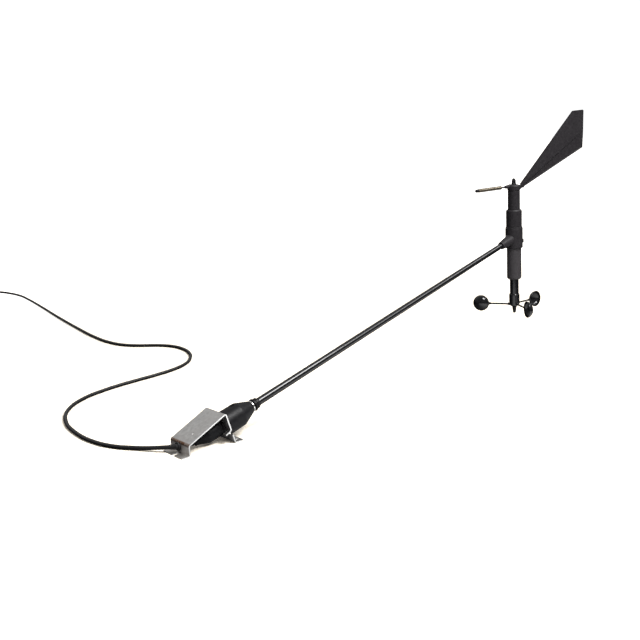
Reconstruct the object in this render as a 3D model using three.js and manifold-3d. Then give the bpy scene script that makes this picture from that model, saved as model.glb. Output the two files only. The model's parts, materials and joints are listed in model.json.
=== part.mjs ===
// A masthead wind sensor: a wind vane and a three-cup rotor share one head at the end of a
// long arm, and the arm plugs into a folded steel bracket with its mast cable.
// Millimetres, +Z up. The origin is midway across the underside of the bracket's front foot.
// +X runs along the arm away from the bracket, and +Y runs across the bracket.
import * as THREE from "three";
import { mergeVertices } from "three/addons/utils/BufferGeometryUtils.js";
import Module from "manifold-3d";

const wasm = await Module();
wasm.setup();

const TURN = 2 * Math.PI;
const rad = THREE.MathUtils.degToRad;

// ---- Driving dimensions --------------------------------------------------------------

// Folded bracket, 2 mm sheet. The front face leans back so that the arm rises.
const SHEET = 2;
const BRACKET_WIDTH = 55;
const ARM_RISE = rad(16.2); // the arm's angle above the horizontal
const FRONT_FOOT_AHEAD = 10.8; // the front foot's edge, ahead of the origin
const FRONT_FACE_BACK = 3.6; // the front face's foot line, behind the origin
const FRONT_HEIGHT = 56; // along the leaning face
const TOP_RUN = 73;
const REAR_HEIGHT = 18.3;
const REAR_FOOT = 14.3;
const FOOT_HOLE_RADIUS = 3.2;
const FOOT_HOLE_X = 4;
const FOOT_HOLE_Y = 17.5;

// Arm: a tube from the plug to the head. Distances along it start at the bracket's face.
const SOCKET_HEIGHT = 26.7; // up the leaning face
const SOCKET_HOLE_RADIUS = 13;
const ARM_LENGTH = 797; // bracket face to the head's axis
const SPAR_RADIUS = 6.35; // its foot, inside the plug and the base collar
const SPAR_SWELL = 6.8; // just past the base collar, where its taper begins
const SPAR_TIP = 5.6; // inside the head
const SPAR_BORE = 4.4;
const SPAR_FIT = SPAR_RADIUS + 0.3; // holes that the spar's foot is held in
const HOOD_RADIUS = 20.6;
const HOOD_LIP_RADIUS = 21.8;
const HOOD_BORE = 16.3; // over the socket's thread
const HOOD_END = 61.2; // where its cone ends, along the arm

// Head: heights above the point where the arm's axis meets the head's axis.
const COLLAR_RADIUS = 18.25;
const COLLAR_TOP = 23.1;
const COLLAR_BOTTOM = -21.5;
const HOUSING_BORE = 13.3; // the collar's bore, which both housings plug into
const UPPER_TOP = 99.1;
const LOWER_TUBE_RADIUS = 9.25;
const LOWER_TUBE_BOTTOM = -122.3;
const SHAFT_RADIUS = 2.5;
const SHAFT_FIT = SHAFT_RADIUS + 0.3;
const GRUB_AZIMUTH = rad(-52);
const GRUB_HEIGHT = -7;
const BEARING_RADIUS = 6.5;
const BEARING_WIDTH = 4;

// Vane, at rest 25 degrees to the right of the arm's line.
const VANE_AZIMUTH = rad(-25);
const VANE_HUB_RADIUS = 13.2;
const BLADE_THICKNESS = 2.2;
const COUNTERWEIGHT_HEIGHT = 108.8;
const COUNTERWEIGHT_DROOP = rad(3.6);

// Cup rotor.
const ROTOR_HEIGHT = -143;
const CUP_CIRCLE = 72; // head axis to the middle of a cup's mouth
const CUP_RADIUS = 16.8;
const CUP_DEPTH = 11.6; // mouth to pole, a flattened bowl
const CUP_WALL = 1.2;
const CUP_AZIMUTH = rad(118.5);
const CUP_ARM_RADIUS = 1.8;
const CUP_ARM_OFFSET = 2.6; // behind the mouth's plane

// Mast cable.
const CABLE_RADIUS = 3.5;
const CABLE_REST = CABLE_RADIUS + 0.1; // its centre's height where it lies on the ground
const GLAND_Y = 4;
const GLAND_Z = 10.5;
const GLAND_HOLE_RADIUS = 4.8;
const SNOUT_END = new THREE.Vector3(-101.5, 16, 8.4);
const COIL_CENTRE = new THREE.Vector3(200, 1940, 0);
const COIL_MIDDLE = 76; // radius to the middle of the turns
const TURN_PITCH = 7.2;
const COIL_COLUMNS = 6;
const COIL_LAYERS = 7;
const COIL_BASE = 1.8; // room for the tie that passes under the coil

// ---- Materials -----------------------------------------------------------------------

function material(color, roughness, metalness) {
  return new THREE.MeshStandardMaterial({ color, roughness, metalness });
}

const stainless = material(0x9c9a97, 0.42, 1);
const brightSteel = material(0xd8d8d6, 0.2, 1);
const bearingSteel = material(0xb9babb, 0.25, 1);
const brass = material(0xb9a06a, 0.35, 1);
const goldContact = material(0xd6b25a, 0.25, 1);
const charcoal = material(0x3a3739, 0.55, 0);
const charcoalLight = material(0x474446, 0.5, 0);
const glossBlack = material(0x101013, 0.12, 0);
const satinBlack = material(0x161617, 0.4, 0);
const rubber = material(0x1b1b1b, 0.8, 0);
const cableJacket = material(0x222224, 0.5, 0);
const boardGreen = material(0x1f5a34, 0.5, 0);
const magnetGrey = material(0x55565a, 0.35, 1);
const chipBlack = material(0x17171a, 0.4, 0);

// ---- Geometry helpers ----------------------------------------------------------------

// One indexed body with only positions, no slivers, and its faces pointing out.
function closed(geometry) {
  const bare = geometry.clone();
  bare.deleteAttribute("normal");
  bare.deleteAttribute("uv");
  const merged = mergeVertices(bare, 1e-4);
  const place = merged.attributes.position;
  const index = merged.index.array;
  const kept = [];
  const [a, b, c] = [new THREE.Vector3(), new THREE.Vector3(), new THREE.Vector3()];
  let volume = 0;
  for (let i = 0; i < index.length; i += 3) {
    const [p, q, r] = [index[i], index[i + 1], index[i + 2]];
    if (p === q || q === r || r === p) continue;
    kept.push(p, q, r);
    a.fromBufferAttribute(place, p);
    b.fromBufferAttribute(place, q);
    c.fromBufferAttribute(place, r);
    volume += a.dot(b.cross(c));
  }
  merged.setIndex(volume < 0 ? kept.reverse() : kept);
  return merged;
}

function toSolid(geometry) {
  const body = closed(geometry);
  return new wasm.Manifold(
    new wasm.Mesh({
      numProp: 3,
      vertProperties: new Float32Array(body.attributes.position.array),
      triVerts: new Uint32Array(body.index.array),
    }),
  );
}

function toGeometry(solid) {
  const mesh = solid.getMesh();
  const geometry = new THREE.BufferGeometry();
  geometry.setAttribute("position", new THREE.BufferAttribute(mesh.vertProperties, 3));
  geometry.setIndex(new THREE.BufferAttribute(mesh.triVerts, 1));
  return geometry;
}

// The first piece, joined with those in add and then cut by those in cut.
function shaped(first, { add = [], cut = [] }) {
  let solid = toSolid(first);
  for (const piece of add) solid = solid.add(toSolid(piece));
  for (const piece of cut) solid = solid.subtract(toSolid(piece));
  return toGeometry(solid);
}

// A body of revolution about Z. The profile's points are [radius, height].
function turned(profile, segments = 18) {
  const points = profile.map(([radius, height]) => new THREE.Vector2(radius, height));
  return closed(new THREE.LatheGeometry(points, segments).rotateX(Math.PI / 2));
}

function tube(inner, outer, bottom, top, segments = 18) {
  const profile = [
    [inner, bottom],
    [outer, bottom],
    [outer, top],
    [inner, top],
    [inner, bottom],
  ];
  return turned(profile, segments);
}

function rod(radius, bottom, top, segments = 18) {
  const middle = (bottom + top) / 2;
  const body = new THREE.CylinderGeometry(radius, radius, top - bottom, segments);
  return closed(body.rotateX(Math.PI / 2).translate(0, 0, middle));
}

// A rod from one place to another, which may taper.
function rodBetween(from, to, startRadius, endRadius = startRadius, segments = 16) {
  const body = new THREE.CylinderGeometry(
    endRadius,
    startRadius,
    from.distanceTo(to),
    segments,
  );
  const direction = to.clone().sub(from).normalize();
  const up = new THREE.Vector3(0, 1, 0);
  body.applyQuaternion(new THREE.Quaternion().setFromUnitVectors(up, direction));
  const middle = from.clone().add(to).multiplyScalar(0.5);
  return closed(body.translate(middle.x, middle.y, middle.z));
}

function box(low, high) {
  const size = high.map((value, i) => value - low[i]);
  const middle = high.map((value, i) => (value + low[i]) / 2);
  return closed(new THREE.BoxGeometry(...size).translate(...middle));
}

// A flat outline with eased corners. Each point is [x, y, ease], and ease is how far
// from the corner its curve starts.
function easedOutline(points) {
  const shape = new THREE.Shape();
  const count = points.length;
  points.forEach(([x, y, ease = 0], i) => {
    const here = new THREE.Vector2(x, y);
    const towards = (j) => {
      const [nx, ny] = points[(j + count) % count];
      return new THREE.Vector2(nx, ny).sub(here).normalize().multiplyScalar(ease).add(here);
    };
    const [start, end] = [towards(i - 1), towards(i + 1)];
    if (i === 0) shape.moveTo(start.x, start.y);
    else shape.lineTo(start.x, start.y);
    if (ease > 0) shape.quadraticCurveTo(x, y, end.x, end.y);
  });
  shape.closePath();
  return shape;
}

// An outline drawn in X and Z, given a thickness along Y from low to high.
function slab(points, low, high) {
  const body = new THREE.ExtrudeGeometry(easedOutline(points), {
    depth: high - low,
    bevelEnabled: false,
    curveSegments: 3,
  });
  return closed(body.rotateX(Math.PI / 2).translate(0, high, 0));
}

// Where the line through p along d crosses the line through q along e.
function meet(p, d, q, e) {
  const across = d.x * e.y - d.y * e.x;
  const along = ((q.x - p.x) * e.y - (q.y - p.y) * e.x) / across;
  return [p.x + d.x * along, p.y + d.y * along];
}

const v2 = (x, y) => new THREE.Vector2(x, y);
const v3 = (x, y, z) => new THREE.Vector3(x, y, z);

function add(group, name, geometry, surface) {
  const mesh = new THREE.Mesh(geometry, surface);
  mesh.name = name;
  group.add(mesh);
  return mesh;
}

// ---- Frames --------------------------------------------------------------------------

const armAxis = v2(Math.cos(ARM_RISE), Math.sin(ARM_RISE)); // in X and Z
const faceUp = v2(-Math.sin(ARM_RISE), Math.cos(ARM_RISE)); // up the leaning front face
const faceFoot = v2(-FRONT_FACE_BACK, 0);
const socketPoint = faceFoot.clone().addScaledVector(faceUp, SOCKET_HEIGHT);
const headPoint = socketPoint.clone().addScaledVector(armAxis, ARM_LENGTH);

const windSensor = new THREE.Group();
const mount = new THREE.Group();

// Pieces about the arm's axis: +Z runs along the arm from the bracket's face.
const arm = new THREE.Group();
arm.position.set(socketPoint.x, 0, socketPoint.y);
arm.rotation.y = Math.PI / 2 - ARM_RISE;

// Pieces about the head's axis, which is upright.
const head = new THREE.Group();
head.position.set(headPoint.x, 0, headPoint.y);

const vane = new THREE.Group();
vane.rotation.z = VANE_AZIMUTH;
head.add(vane);

// The counterweight's line: +Z runs outwards, away from the blade and a little down.
const counterweightLine = new THREE.Group();
counterweightLine.position.z = COUNTERWEIGHT_HEIGHT;
counterweightLine.rotation.y = -Math.PI / 2 - COUNTERWEIGHT_DROOP;
vane.add(counterweightLine);

const rotor = new THREE.Group();
rotor.position.z = ROTOR_HEIGHT;
head.add(rotor);

windSensor.add(mount, arm, head);

// ---- Bracket -------------------------------------------------------------------------

// A turned piece made about +Z, laid along the arm's axis at a distance along it.
function alongArm(geometry, from = socketPoint) {
  return geometry.rotateY(Math.PI / 2 - ARM_RISE).translate(from.x, 0, from.y);
}

function bracketGeometry() {
  const level = v2(1, 0);
  const plumb = v2(0, 1);
  const topFront = faceFoot.clone().addScaledVector(faceUp, FRONT_HEIGHT);
  const topRear = v2(topFront.x - TOP_RUN, REAR_HEIGHT);
  const topLine = topFront.clone().sub(topRear).normalize();
  const underTop = topRear.clone().add(v2(topLine.y, -topLine.x).multiplyScalar(SHEET));
  const faceBack = faceFoot.clone().addScaledVector(armAxis, -SHEET);
  const wallFront = v2(topRear.x + SHEET, 0);
  const rearEdge = topRear.x - REAR_FOOT;
  const outside = 3;
  const inside = 1.2;
  const strip = slab(
    [
      [FRONT_FOOT_AHEAD, 0],
      [FRONT_FOOT_AHEAD, SHEET],
      [...meet(v2(0, SHEET), level, faceFoot, faceUp), inside],
      [topFront.x, topFront.y, outside],
      [topRear.x, topRear.y, outside],
      [topRear.x, SHEET, inside],
      [rearEdge, SHEET],
      [rearEdge, 0],
      [wallFront.x, 0, outside],
      [...meet(wallFront, plumb, underTop, topLine), inside],
      [...meet(underTop, topLine, faceBack, faceUp), inside],
      [...meet(faceBack, faceUp, v2(0, 0), level), outside],
    ],
    -BRACKET_WIDTH / 2,
    BRACKET_WIDTH / 2,
  );

  const socketHole = alongArm(rod(SOCKET_HOLE_RADIUS, -12, 12, 24));
  const glandHole = rodBetween(
    v3(topRear.x - 6, GLAND_Y, GLAND_Z),
    v3(topRear.x + 6, GLAND_Y, GLAND_Z),
    GLAND_HOLE_RADIUS,
  );
  const drain = topRear.clone().addScaledVector(topLine, 23.5);
  const drainHole = rodBetween(
    v3(drain.x + 6 * topLine.y, -7, drain.y - 6 * topLine.x),
    v3(drain.x - 6 * topLine.y, -7, drain.y + 6 * topLine.x),
    2,
    2,
    16,
  );
  const footHoles = [-1, 1].map((side) =>
    rod(FOOT_HOLE_RADIUS, -5, 5, 16).translate(FOOT_HOLE_X, side * FOOT_HOLE_Y, 0),
  );
  const slotEnd = topRear.x - 6.5;
  const rearSlot = [
    box([rearEdge - 5, -2 - FOOT_HOLE_RADIUS, -5], [slotEnd, -2 + FOOT_HOLE_RADIUS, 5]),
    rod(FOOT_HOLE_RADIUS, -5, 5, 16).translate(slotEnd, -2, 0),
  ];

  // Each side edge has a tongue cut free of the front face and bent back under the arm.
  const tongueInner = 19;
  const tongueOuter = BRACKET_WIDTH / 2;
  const at = (up, ahead) => {
    const p = faceFoot.clone().addScaledVector(faceUp, up).addScaledVector(armAxis, ahead);
    return [p.x, p.y];
  };
  const back = v2(-0.89, -0.456);
  const under = v2(0.456, -0.89);
  const root = v2(...at(26.7, -0.8));
  const tip = root.clone().addScaledVector(back, 10.4);
  const tipUnder = tip.clone().addScaledVector(under, SHEET);
  const rootUnder = root.clone().addScaledVector(under, SHEET);
  const windowOutline = [at(15.9, -6), at(15.9, 6), at(24.2, 6), at(24.2, -6)];
  const tongueOutline = [
    [root.x, root.y],
    [rootUnder.x, rootUnder.y],
    [tipUnder.x, tipUnder.y, 0.9],
    [tip.x, tip.y, 0.9],
  ];
  const windows = [
    slab(windowOutline, tongueInner, tongueOuter + 5),
    slab(windowOutline, -tongueOuter - 5, -tongueInner),
  ];
  const tongues = [
    slab(tongueOutline, tongueInner, tongueOuter),
    slab(tongueOutline, -tongueOuter, -tongueInner),
  ];
  const cutStrip = shaped(strip, {
    cut: [socketHole, glandHole, drainHole, ...footHoles, ...rearSlot, ...windows],
  });
  return shaped(cutStrip, { add: tongues });
}

add(mount, "bracket", bracketGeometry(), stainless);

// ---- Socket in the bracket -----------------------------------------------------------

const PIN_COUNT = 5;
const PIN_CIRCLE = 5;
const pinPlaces = Array.from({ length: PIN_COUNT }, (_, i) => {
  const angle = (i * TURN) / PIN_COUNT;
  return [PIN_CIRCLE * Math.cos(angle), PIN_CIRCLE * Math.sin(angle)];
});

function hexNutGeometry(acrossFlats, bore, bottom, top) {
  const body = new THREE.CylinderGeometry(
    acrossFlats / Math.sqrt(3),
    acrossFlats / Math.sqrt(3),
    top - bottom,
    6,
  );
  const blank = closed(body.rotateX(Math.PI / 2).translate(0, 0, (top + bottom) / 2));
  return shaped(blank, { cut: [rod(bore, bottom - 1, top + 1, 20)] });
}

function socketParts() {
  const shell = turned(
    [
      [8, -28],
      [12.4, -28],
      [12.4, 1.9],
      [15.9, 1.9],
      [15.9, 21],
      [14.9, 22],
      [10.2, 22],
      [10.2, -26.3],
      [8, -26.3],
      [8, -28],
    ],
    20,
  );
  const insertHoles = pinPlaces.map(([x, y]) => rod(1.3, -22, -10, 10).translate(x, y, 0));
  const insert = shaped(rod(9.9, -26, -12.7), { cut: insertHoles });
  const tail = turned([
    [4, -57],
    [5.5, -57],
    [6.4, -52],
    [14, -34],
    [14, -7.1],
    [12.7, -7.1],
    [12.7, -30],
    [4, -46],
    [4, -57],
  ]);
  add(arm, "socket_shell", shell, satinBlack);
  add(arm, "socket_gasket", tube(12.8, 15.8, 0.3, 1.6, 20), rubber);
  add(arm, "socket_panel_nut", hexNutGeometry(28, 12.75, -6.8, -2.3), satinBlack);
  add(arm, "socket_contact_insert", insert, chipBlack);
  add(arm, "socket_tail_cover", tail, satinBlack);
}

socketParts();

// ---- Plug and coupling ring at the foot of the arm -----------------------------------

function plugParts() {
  const shell = turned(
    [
      [8.2, -12],
      [9.8, -12],
      [9.8, 25.2],
      [15.5, 25.2],
      [15.5, 29.5],
      [9.6, 29.5],
      [9.6, 46],
      [SPAR_FIT, 46],
      [SPAR_FIT, 18],
      [8.2, 18],
      [8.2, -12],
    ],
    20,
  );
  const pinHoles = pinPlaces.map(([x, y]) => rod(1.2, -5, 8, 10).translate(x, y, 0));
  add(arm, "plug_shell", shell, satinBlack);
  add(arm, "plug_contact_insert", shaped(rod(7.9, -3, 5), { cut: pinHoles }), chipBlack);
  pinPlaces.forEach(([x, y], i) => {
    add(arm, `contact_pin_${i + 1}`, rod(0.9, -20, 9, 10), goldContact).position.set(x, y, 0);
  });
  const seal = new THREE.TorusGeometry(11.3, 1, 6, 18).translate(0, 0, 23.6);
  add(arm, "plug_o_ring", closed(seal), rubber);
}

// The hood that covers the joint: a lip, a cylinder and a cone, with a nub to grip.
function couplingRingGeometry() {
  const hood = turned(
    [
      [HOOD_BORE, 0.8],
      [HOOD_LIP_RADIUS, 0.8],
      [HOOD_LIP_RADIUS, 3.5],
      [HOOD_RADIUS + 0.5, 4.3],
      [HOOD_RADIUS, 36],
      [10.9, HOOD_END - 1.2],
      [9.8, HOOD_END],
      [7.6, HOOD_END],
      [7.6, 55.7],
      [12.5, 38.7],
      [12.5, 30.2],
      [HOOD_BORE, 30.2],
      [HOOD_BORE, 0.8],
    ],
    24,
  );
  const nub = box([-HOOD_RADIUS - 1.4, -1.6, 26], [-HOOD_RADIUS + 1, 1.6, 33]);
  return shaped(hood, { add: [nub] });
}

function sparParts() {
  const start = 20;
  const end = ARM_LENGTH - 17;
  const spar = turned(
    [
      [SPAR_BORE, start],
      [SPAR_RADIUS, start],
      [SPAR_RADIUS, HOOD_END + 16.1],
      [SPAR_SWELL, HOOD_END + 16.6],
      [SPAR_TIP, end - 30],
      [SPAR_TIP, end],
      [SPAR_BORE, end],
      [SPAR_BORE, start],
    ],
    20,
  );
  add(arm, "spar_tube", spar, glossBlack);
  const ring = tube(SPAR_FIT, 9.8, HOOD_END + 0.5, HOOD_END + 2.9);
  add(arm, "coupling_retaining_ring", ring, brightSteel);
  const collar = turned([
    [SPAR_FIT, 0],
    [8.6, 0],
    [8.6, 1.8],
    [10.9, 2],
    [10.9, 4.2],
    [8.7, 4.8],
    [8.7, 6.8],
    [9.3, 7.2],
    [9.3, 10.6],
    [7.4, 12.6],
    [SPAR_FIT, 12.6],
    [SPAR_FIT, 0],
  ]).translate(0, 0, HOOD_END + 3.3);
  add(arm, "spar_base_collar", collar, satinBlack);
  add(arm, "arm_cable", rod(2.2, 12, ARM_LENGTH - 9, 10), cableJacket);
}

plugParts();
add(arm, "coupling_ring", couplingRingGeometry(), satinBlack);
sparParts();

// ---- Head body -----------------------------------------------------------------------

const headAxis = v2(0, 0);

// A place on the collar screw's line, at this distance from the head's axis.
const screwAt = (radius) =>
  v3(radius * Math.cos(GRUB_AZIMUTH), radius * Math.sin(GRUB_AZIMUTH), GRUB_HEIGHT);

// The collar with the conical boss that holds the arm's end, and a boss for the screw.
function headCollarGeometry() {
  const collar = turned(
    [
      [0, COLLAR_BOTTOM],
      [COLLAR_RADIUS - 0.6, COLLAR_BOTTOM],
      [COLLAR_RADIUS, COLLAR_BOTTOM + 0.8],
      [COLLAR_RADIUS, COLLAR_TOP - 1],
      [COLLAR_RADIUS - 0.9, COLLAR_TOP],
      [0, COLLAR_TOP],
    ],
    24,
  );
  const boss = turned([
    [0, -46],
    [7.4, -46],
    [8, -45],
    [12.3, -12],
    [0, -12],
  ]);
  return shaped(collar, {
    add: [alongArm(boss, headAxis), rodBetween(screwAt(14), screwAt(20), 4.6, 3.8)],
    cut: [
      rod(HOUSING_BORE, -40, 40, 20),
      alongArm(rod(SPAR_TIP + 0.3, -60, -10), headAxis),
      rodBetween(screwAt(10), screwAt(30), 2.1, 2.1, 12),
    ],
  });
}

function grubScrewGeometry() {
  const shank = rodBetween(screwAt(13.6), screwAt(19.6), 1.8, 1.8, 12);
  const hexSocket = rodBetween(screwAt(18.2), screwAt(21), 0.9, 0.9, 6);
  return shaped(shank, { cut: [hexSocket] });
}

function upperHousingParts() {
  const housing = turned(
    [
      [3.2, UPPER_TOP],
      [12.2, UPPER_TOP],
      [12.9, UPPER_TOP - 1],
      [13, 7],
      [10.5, 7],
      [10.5, UPPER_TOP - 4.1],
      [3.2, UPPER_TOP - 4.1],
      [3.2, UPPER_TOP],
    ],
    24,
  );
  const sleeve = turned(
    [
      [HOUSING_BORE, 23.4],
      [16.5, 23.4],
      [16.5, 56.5],
      [14.6, 59.6],
      [HOUSING_BORE, 59.6],
      [HOUSING_BORE, 23.4],
    ],
    24,
  );
  add(head, "upper_housing", housing, charcoal);
  add(head, "upper_sleeve", sleeve, charcoal);
  add(head, "vane_bearing_carrier", tube(BEARING_RADIUS + 0.3, 10.2, 58, 94.7), satinBlack);
  for (const [name, bottom] of [
    ["vane_bearing_upper", 90],
    ["vane_bearing_lower", 62],
  ]) {
    add(head, name, tube(SHAFT_FIT, BEARING_RADIUS, bottom, bottom + BEARING_WIDTH), bearingSteel);
  }
  add(head, "direction_sensor_board", rod(10.2, 45.5, 47.1), boardGreen);
  add(head, "direction_sensor", box([-3, -3, 47.4], [3, 3, 49]), chipBlack);
}

function lowerHousingParts() {
  const housing = turned(
    [
      [9.6, -88.7],
      [12.4, -88.7],
      [15.25, -85.6],
      [15.25, -21.8],
      [13, -21.8],
      [13, -12.5],
      [11, -12.5],
      [11, -84],
      [9.6, -84],
      [9.6, -88.7],
    ],
    24,
  );
  const lowerTube = turned(
    [
      [6.8, LOWER_TUBE_BOTTOM],
      [LOWER_TUBE_RADIUS, LOWER_TUBE_BOTTOM],
      [LOWER_TUBE_RADIUS, -83.7],
      [10.7, -83.7],
      [10.7, -80.5],
      [LOWER_TUBE_RADIUS, -80.5],
      [LOWER_TUBE_RADIUS, -60],
      [6.8, -60],
      [6.8, LOWER_TUBE_BOTTOM],
    ],
    20,
  );
  add(head, "lower_housing", housing, charcoalLight);
  add(head, "lower_tube", lowerTube, glossBlack);
  for (const [name, bottom] of [
    ["rotor_bearing_upper", -74],
    ["rotor_bearing_lower", -118],
  ]) {
    add(head, name, tube(SHAFT_FIT, BEARING_RADIUS, bottom, bottom + BEARING_WIDTH), bearingSteel);
  }
  add(head, "rotor_bearing_spacer", tube(4.6, BEARING_RADIUS, -113.7, -74.3, 20), satinBlack);
  add(head, "shaft_seal", tube(SHAFT_FIT, BEARING_RADIUS, -121.8, -118.3, 20), rubber);
  add(head, "speed_sensor_board", rod(10.6, -57, -55.4), boardGreen);
  add(head, "speed_sensor", box([2.5, -1.6, -59], [6, 1.6, -57.3]), chipBlack);
}

add(head, "head_collar", headCollarGeometry(), charcoal);
add(head, "collar_grub_screw", grubScrewGeometry(), bearingSteel);
upperHousingParts();
lowerHousingParts();

// ---- Vane ----------------------------------------------------------------------------

function vaneHubGeometry() {
  const hub = turned(
    [
      [0, 99.7],
      [VANE_HUB_RADIUS - 0.6, 99.7],
      [VANE_HUB_RADIUS, 100.5],
      [VANE_HUB_RADIUS, 108.5],
      [11.4, 111],
      [8.5, 112],
      [0, 112],
    ],
    20,
  );
  const lineOut = (distance) =>
    v3(
      -distance * Math.cos(COUNTERWEIGHT_DROOP),
      0,
      COUNTERWEIGHT_HEIGHT - distance * Math.sin(COUNTERWEIGHT_DROOP),
    );
  return shaped(hub, {
    add: [rodBetween(lineOut(8), lineOut(21), 5.2, 2.8)],
    cut: [
      rod(SHAFT_FIT, 90, 120),
      box([7, -1.5, 101.8], [20, 1.5, 110.4]),
      rodBetween(lineOut(7), lineOut(30), 2, 2, 16),
    ],
  });
}

// The blade rises away from the hub, with a stiffening rib along its middle.
function vaneBladeGeometry() {
  const half = BLADE_THICKNESS / 2;
  const plate = slab(
    [
      [7.5, 102.2],
      [14, 102.2],
      [17.5, 103.6],
      [161.2, 180.6, 3.5],
      [162.6, 259.2, 2.5],
      [136.2, 257.6, 2.5],
      [13.8, 112],
      [14, 110],
      [7.5, 110],
    ],
    -half,
    half,
  );
  const rib = slab(
    [
      [18, 106.6],
      [19.5, 104.8],
      [159.5, 214.9],
      [159.5, 216.6],
    ],
    -half - 0.9,
    half + 0.9,
  );
  return shaped(plate, { add: [rib] });
}

function vaneParts() {
  const knob = turned([
    [0, 118.2],
    [SHAFT_FIT, 118.2],
    [SHAFT_FIT, 112.3],
    [5.3, 112.3],
    [4.4, 115.2],
    [4.4, 120],
    [3, 123.6],
    [0, 125.6],
  ]);
  add(vane, "vane_hub", vaneHubGeometry(), charcoal);
  add(vane, "vane_cap_nut", knob, satinBlack);
  add(vane, "vane_blade", vaneBladeGeometry(), charcoal);
  add(vane, "vane_shaft", rod(SHAFT_RADIUS, 51.5, 117.8, 20), bearingSteel);
  add(vane, "direction_magnet", tube(SHAFT_FIT, 5, 52, 56, 20), magnetGrey);
  add(counterweightLine, "counterweight_spindle", rod(1.7, 9.5, 86.4, 16), satinBlack);
  add(counterweightLine, "counterweight", tube(2, 3.85, 29, 81), brass);
  const endNut = turned(
    [
      [2, 81.3],
      [3.3, 81.3],
      [3.3, 86],
      [2.2, 87.9],
      [0, 87.9],
      [0, 86.7],
      [2, 86.7],
      [2, 81.3],
    ],
    16,
  );
  add(counterweightLine, "counterweight_end_nut", endNut, satinBlack);
}

vaneParts();

// ---- Cup rotor -----------------------------------------------------------------------

const CUP_COUNT = 3;
const SOCKET_START = 6;
const CUP_BOSS_START = CUP_CIRCLE - CUP_RADIUS - 4.5;

// A bowl whose pole points along +Z, with a bead round its mouth.
function cupShellGeometry() {
  const steps = 5;
  const bowl = (radius, depth, from, to) =>
    Array.from({ length: steps + 1 }, (_, i) => {
      const angle = from + ((to - from) * i) / steps;
      return [radius * Math.sin(angle), depth * Math.cos(angle)];
    });
  const profile = [
    ...bowl(CUP_RADIUS, CUP_DEPTH, 0, Math.PI / 2),
    [CUP_RADIUS + 0.6, -0.2],
    [CUP_RADIUS + 0.6, -1.1],
    [CUP_RADIUS - CUP_WALL, -1.1],
    ...bowl(CUP_RADIUS - CUP_WALL, CUP_DEPTH - CUP_WALL, Math.PI / 2, 0),
  ];
  return turned(profile, 16);
}

// One cup for an arm that runs along +X: it leads with its back, towards +Y.
function cupGeometry() {
  const shell = cupShellGeometry().rotateX(-Math.PI / 2).translate(CUP_CIRCLE, 0, 0);
  const alongX = (from, to, radius) =>
    rodBetween(v3(from, CUP_ARM_OFFSET, 0), v3(to, CUP_ARM_OFFSET, 0), radius, radius, 16);
  const hollow = new THREE.SphereGeometry(CUP_RADIUS - CUP_WALL, 16, 10);
  hollow.scale(1, (CUP_DEPTH - CUP_WALL) / (CUP_RADIUS - CUP_WALL), 1);
  const boss = shaped(alongX(CUP_BOSS_START, CUP_CIRCLE - CUP_RADIUS + 1.5, 3), {
    cut: [hollow.translate(CUP_CIRCLE, 0, 0)],
  });
  return shaped(shell, {
    add: [boss],
    cut: [alongX(CUP_BOSS_START - 5, CUP_CIRCLE - CUP_RADIUS - 0.9, CUP_ARM_RADIUS + 0.3)],
  });
}

// Heights in the rotor are measured from the cups' level.
function cupHubGeometry() {
  const hub = turned(
    [
      [SHAFT_FIT, -6],
      [5, -6],
      [11, -2.2],
      [11, 20.6],
      [10.3, 22],
      [9.8, 22],
      [9.8, 19.4],
      [SHAFT_FIT, 19.4],
      [SHAFT_FIT, -6],
    ],
    20,
  );
  const sockets = Array.from({ length: CUP_COUNT }, (_, i) =>
    rodBetween(
      v3(SOCKET_START, CUP_ARM_OFFSET, 0),
      v3(20, CUP_ARM_OFFSET, 0),
      CUP_ARM_RADIUS + 0.3,
      CUP_ARM_RADIUS + 0.3,
      16,
    ).rotateZ(CUP_AZIMUTH + (i * TURN) / CUP_COUNT),
  );
  return shaped(hub, { cut: sockets });
}

function rotorParts() {
  const tip = turned(
    [
      [0, -19.6],
      [2.4, -19.6],
      [3.3, -18.2],
      [4.7, -6.3],
      [SHAFT_FIT, -6.3],
      [SHAFT_FIT, -17.4],
      [0, -17.4],
    ],
    20,
  );
  add(rotor, "rotor_shaft", rod(SHAFT_RADIUS, -17, 83, 20), bearingSteel);
  add(rotor, "rotor_magnet", tube(SHAFT_FIT, 5.5, 77.5, 82.5, 20), magnetGrey);
  add(rotor, "cup_hub", cupHubGeometry(), glossBlack);
  add(rotor, "cup_hub_nut", tip, satinBlack);
  for (let i = 0; i < CUP_COUNT; i += 1) {
    const spoke = new THREE.Group();
    spoke.rotation.z = CUP_AZIMUTH + (i * TURN) / CUP_COUNT;
    rotor.add(spoke);
    const cupArm = rodBetween(
      v3(SOCKET_START + 0.8, CUP_ARM_OFFSET, 0),
      v3(CUP_CIRCLE - CUP_RADIUS - 1.3, CUP_ARM_OFFSET, 0),
      CUP_ARM_RADIUS,
      CUP_ARM_RADIUS,
      12,
    );
    add(spoke, `cup_arm_${i + 1}`, cupArm, satinBlack);
    add(spoke, `cup_${i + 1}`, cupGeometry(), glossBlack);
  }
}

rotorParts();

// ---- Mast cable ----------------------------------------------------------------------

const wallRear = faceFoot.x + faceUp.x * FRONT_HEIGHT - TOP_RUN;

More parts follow.
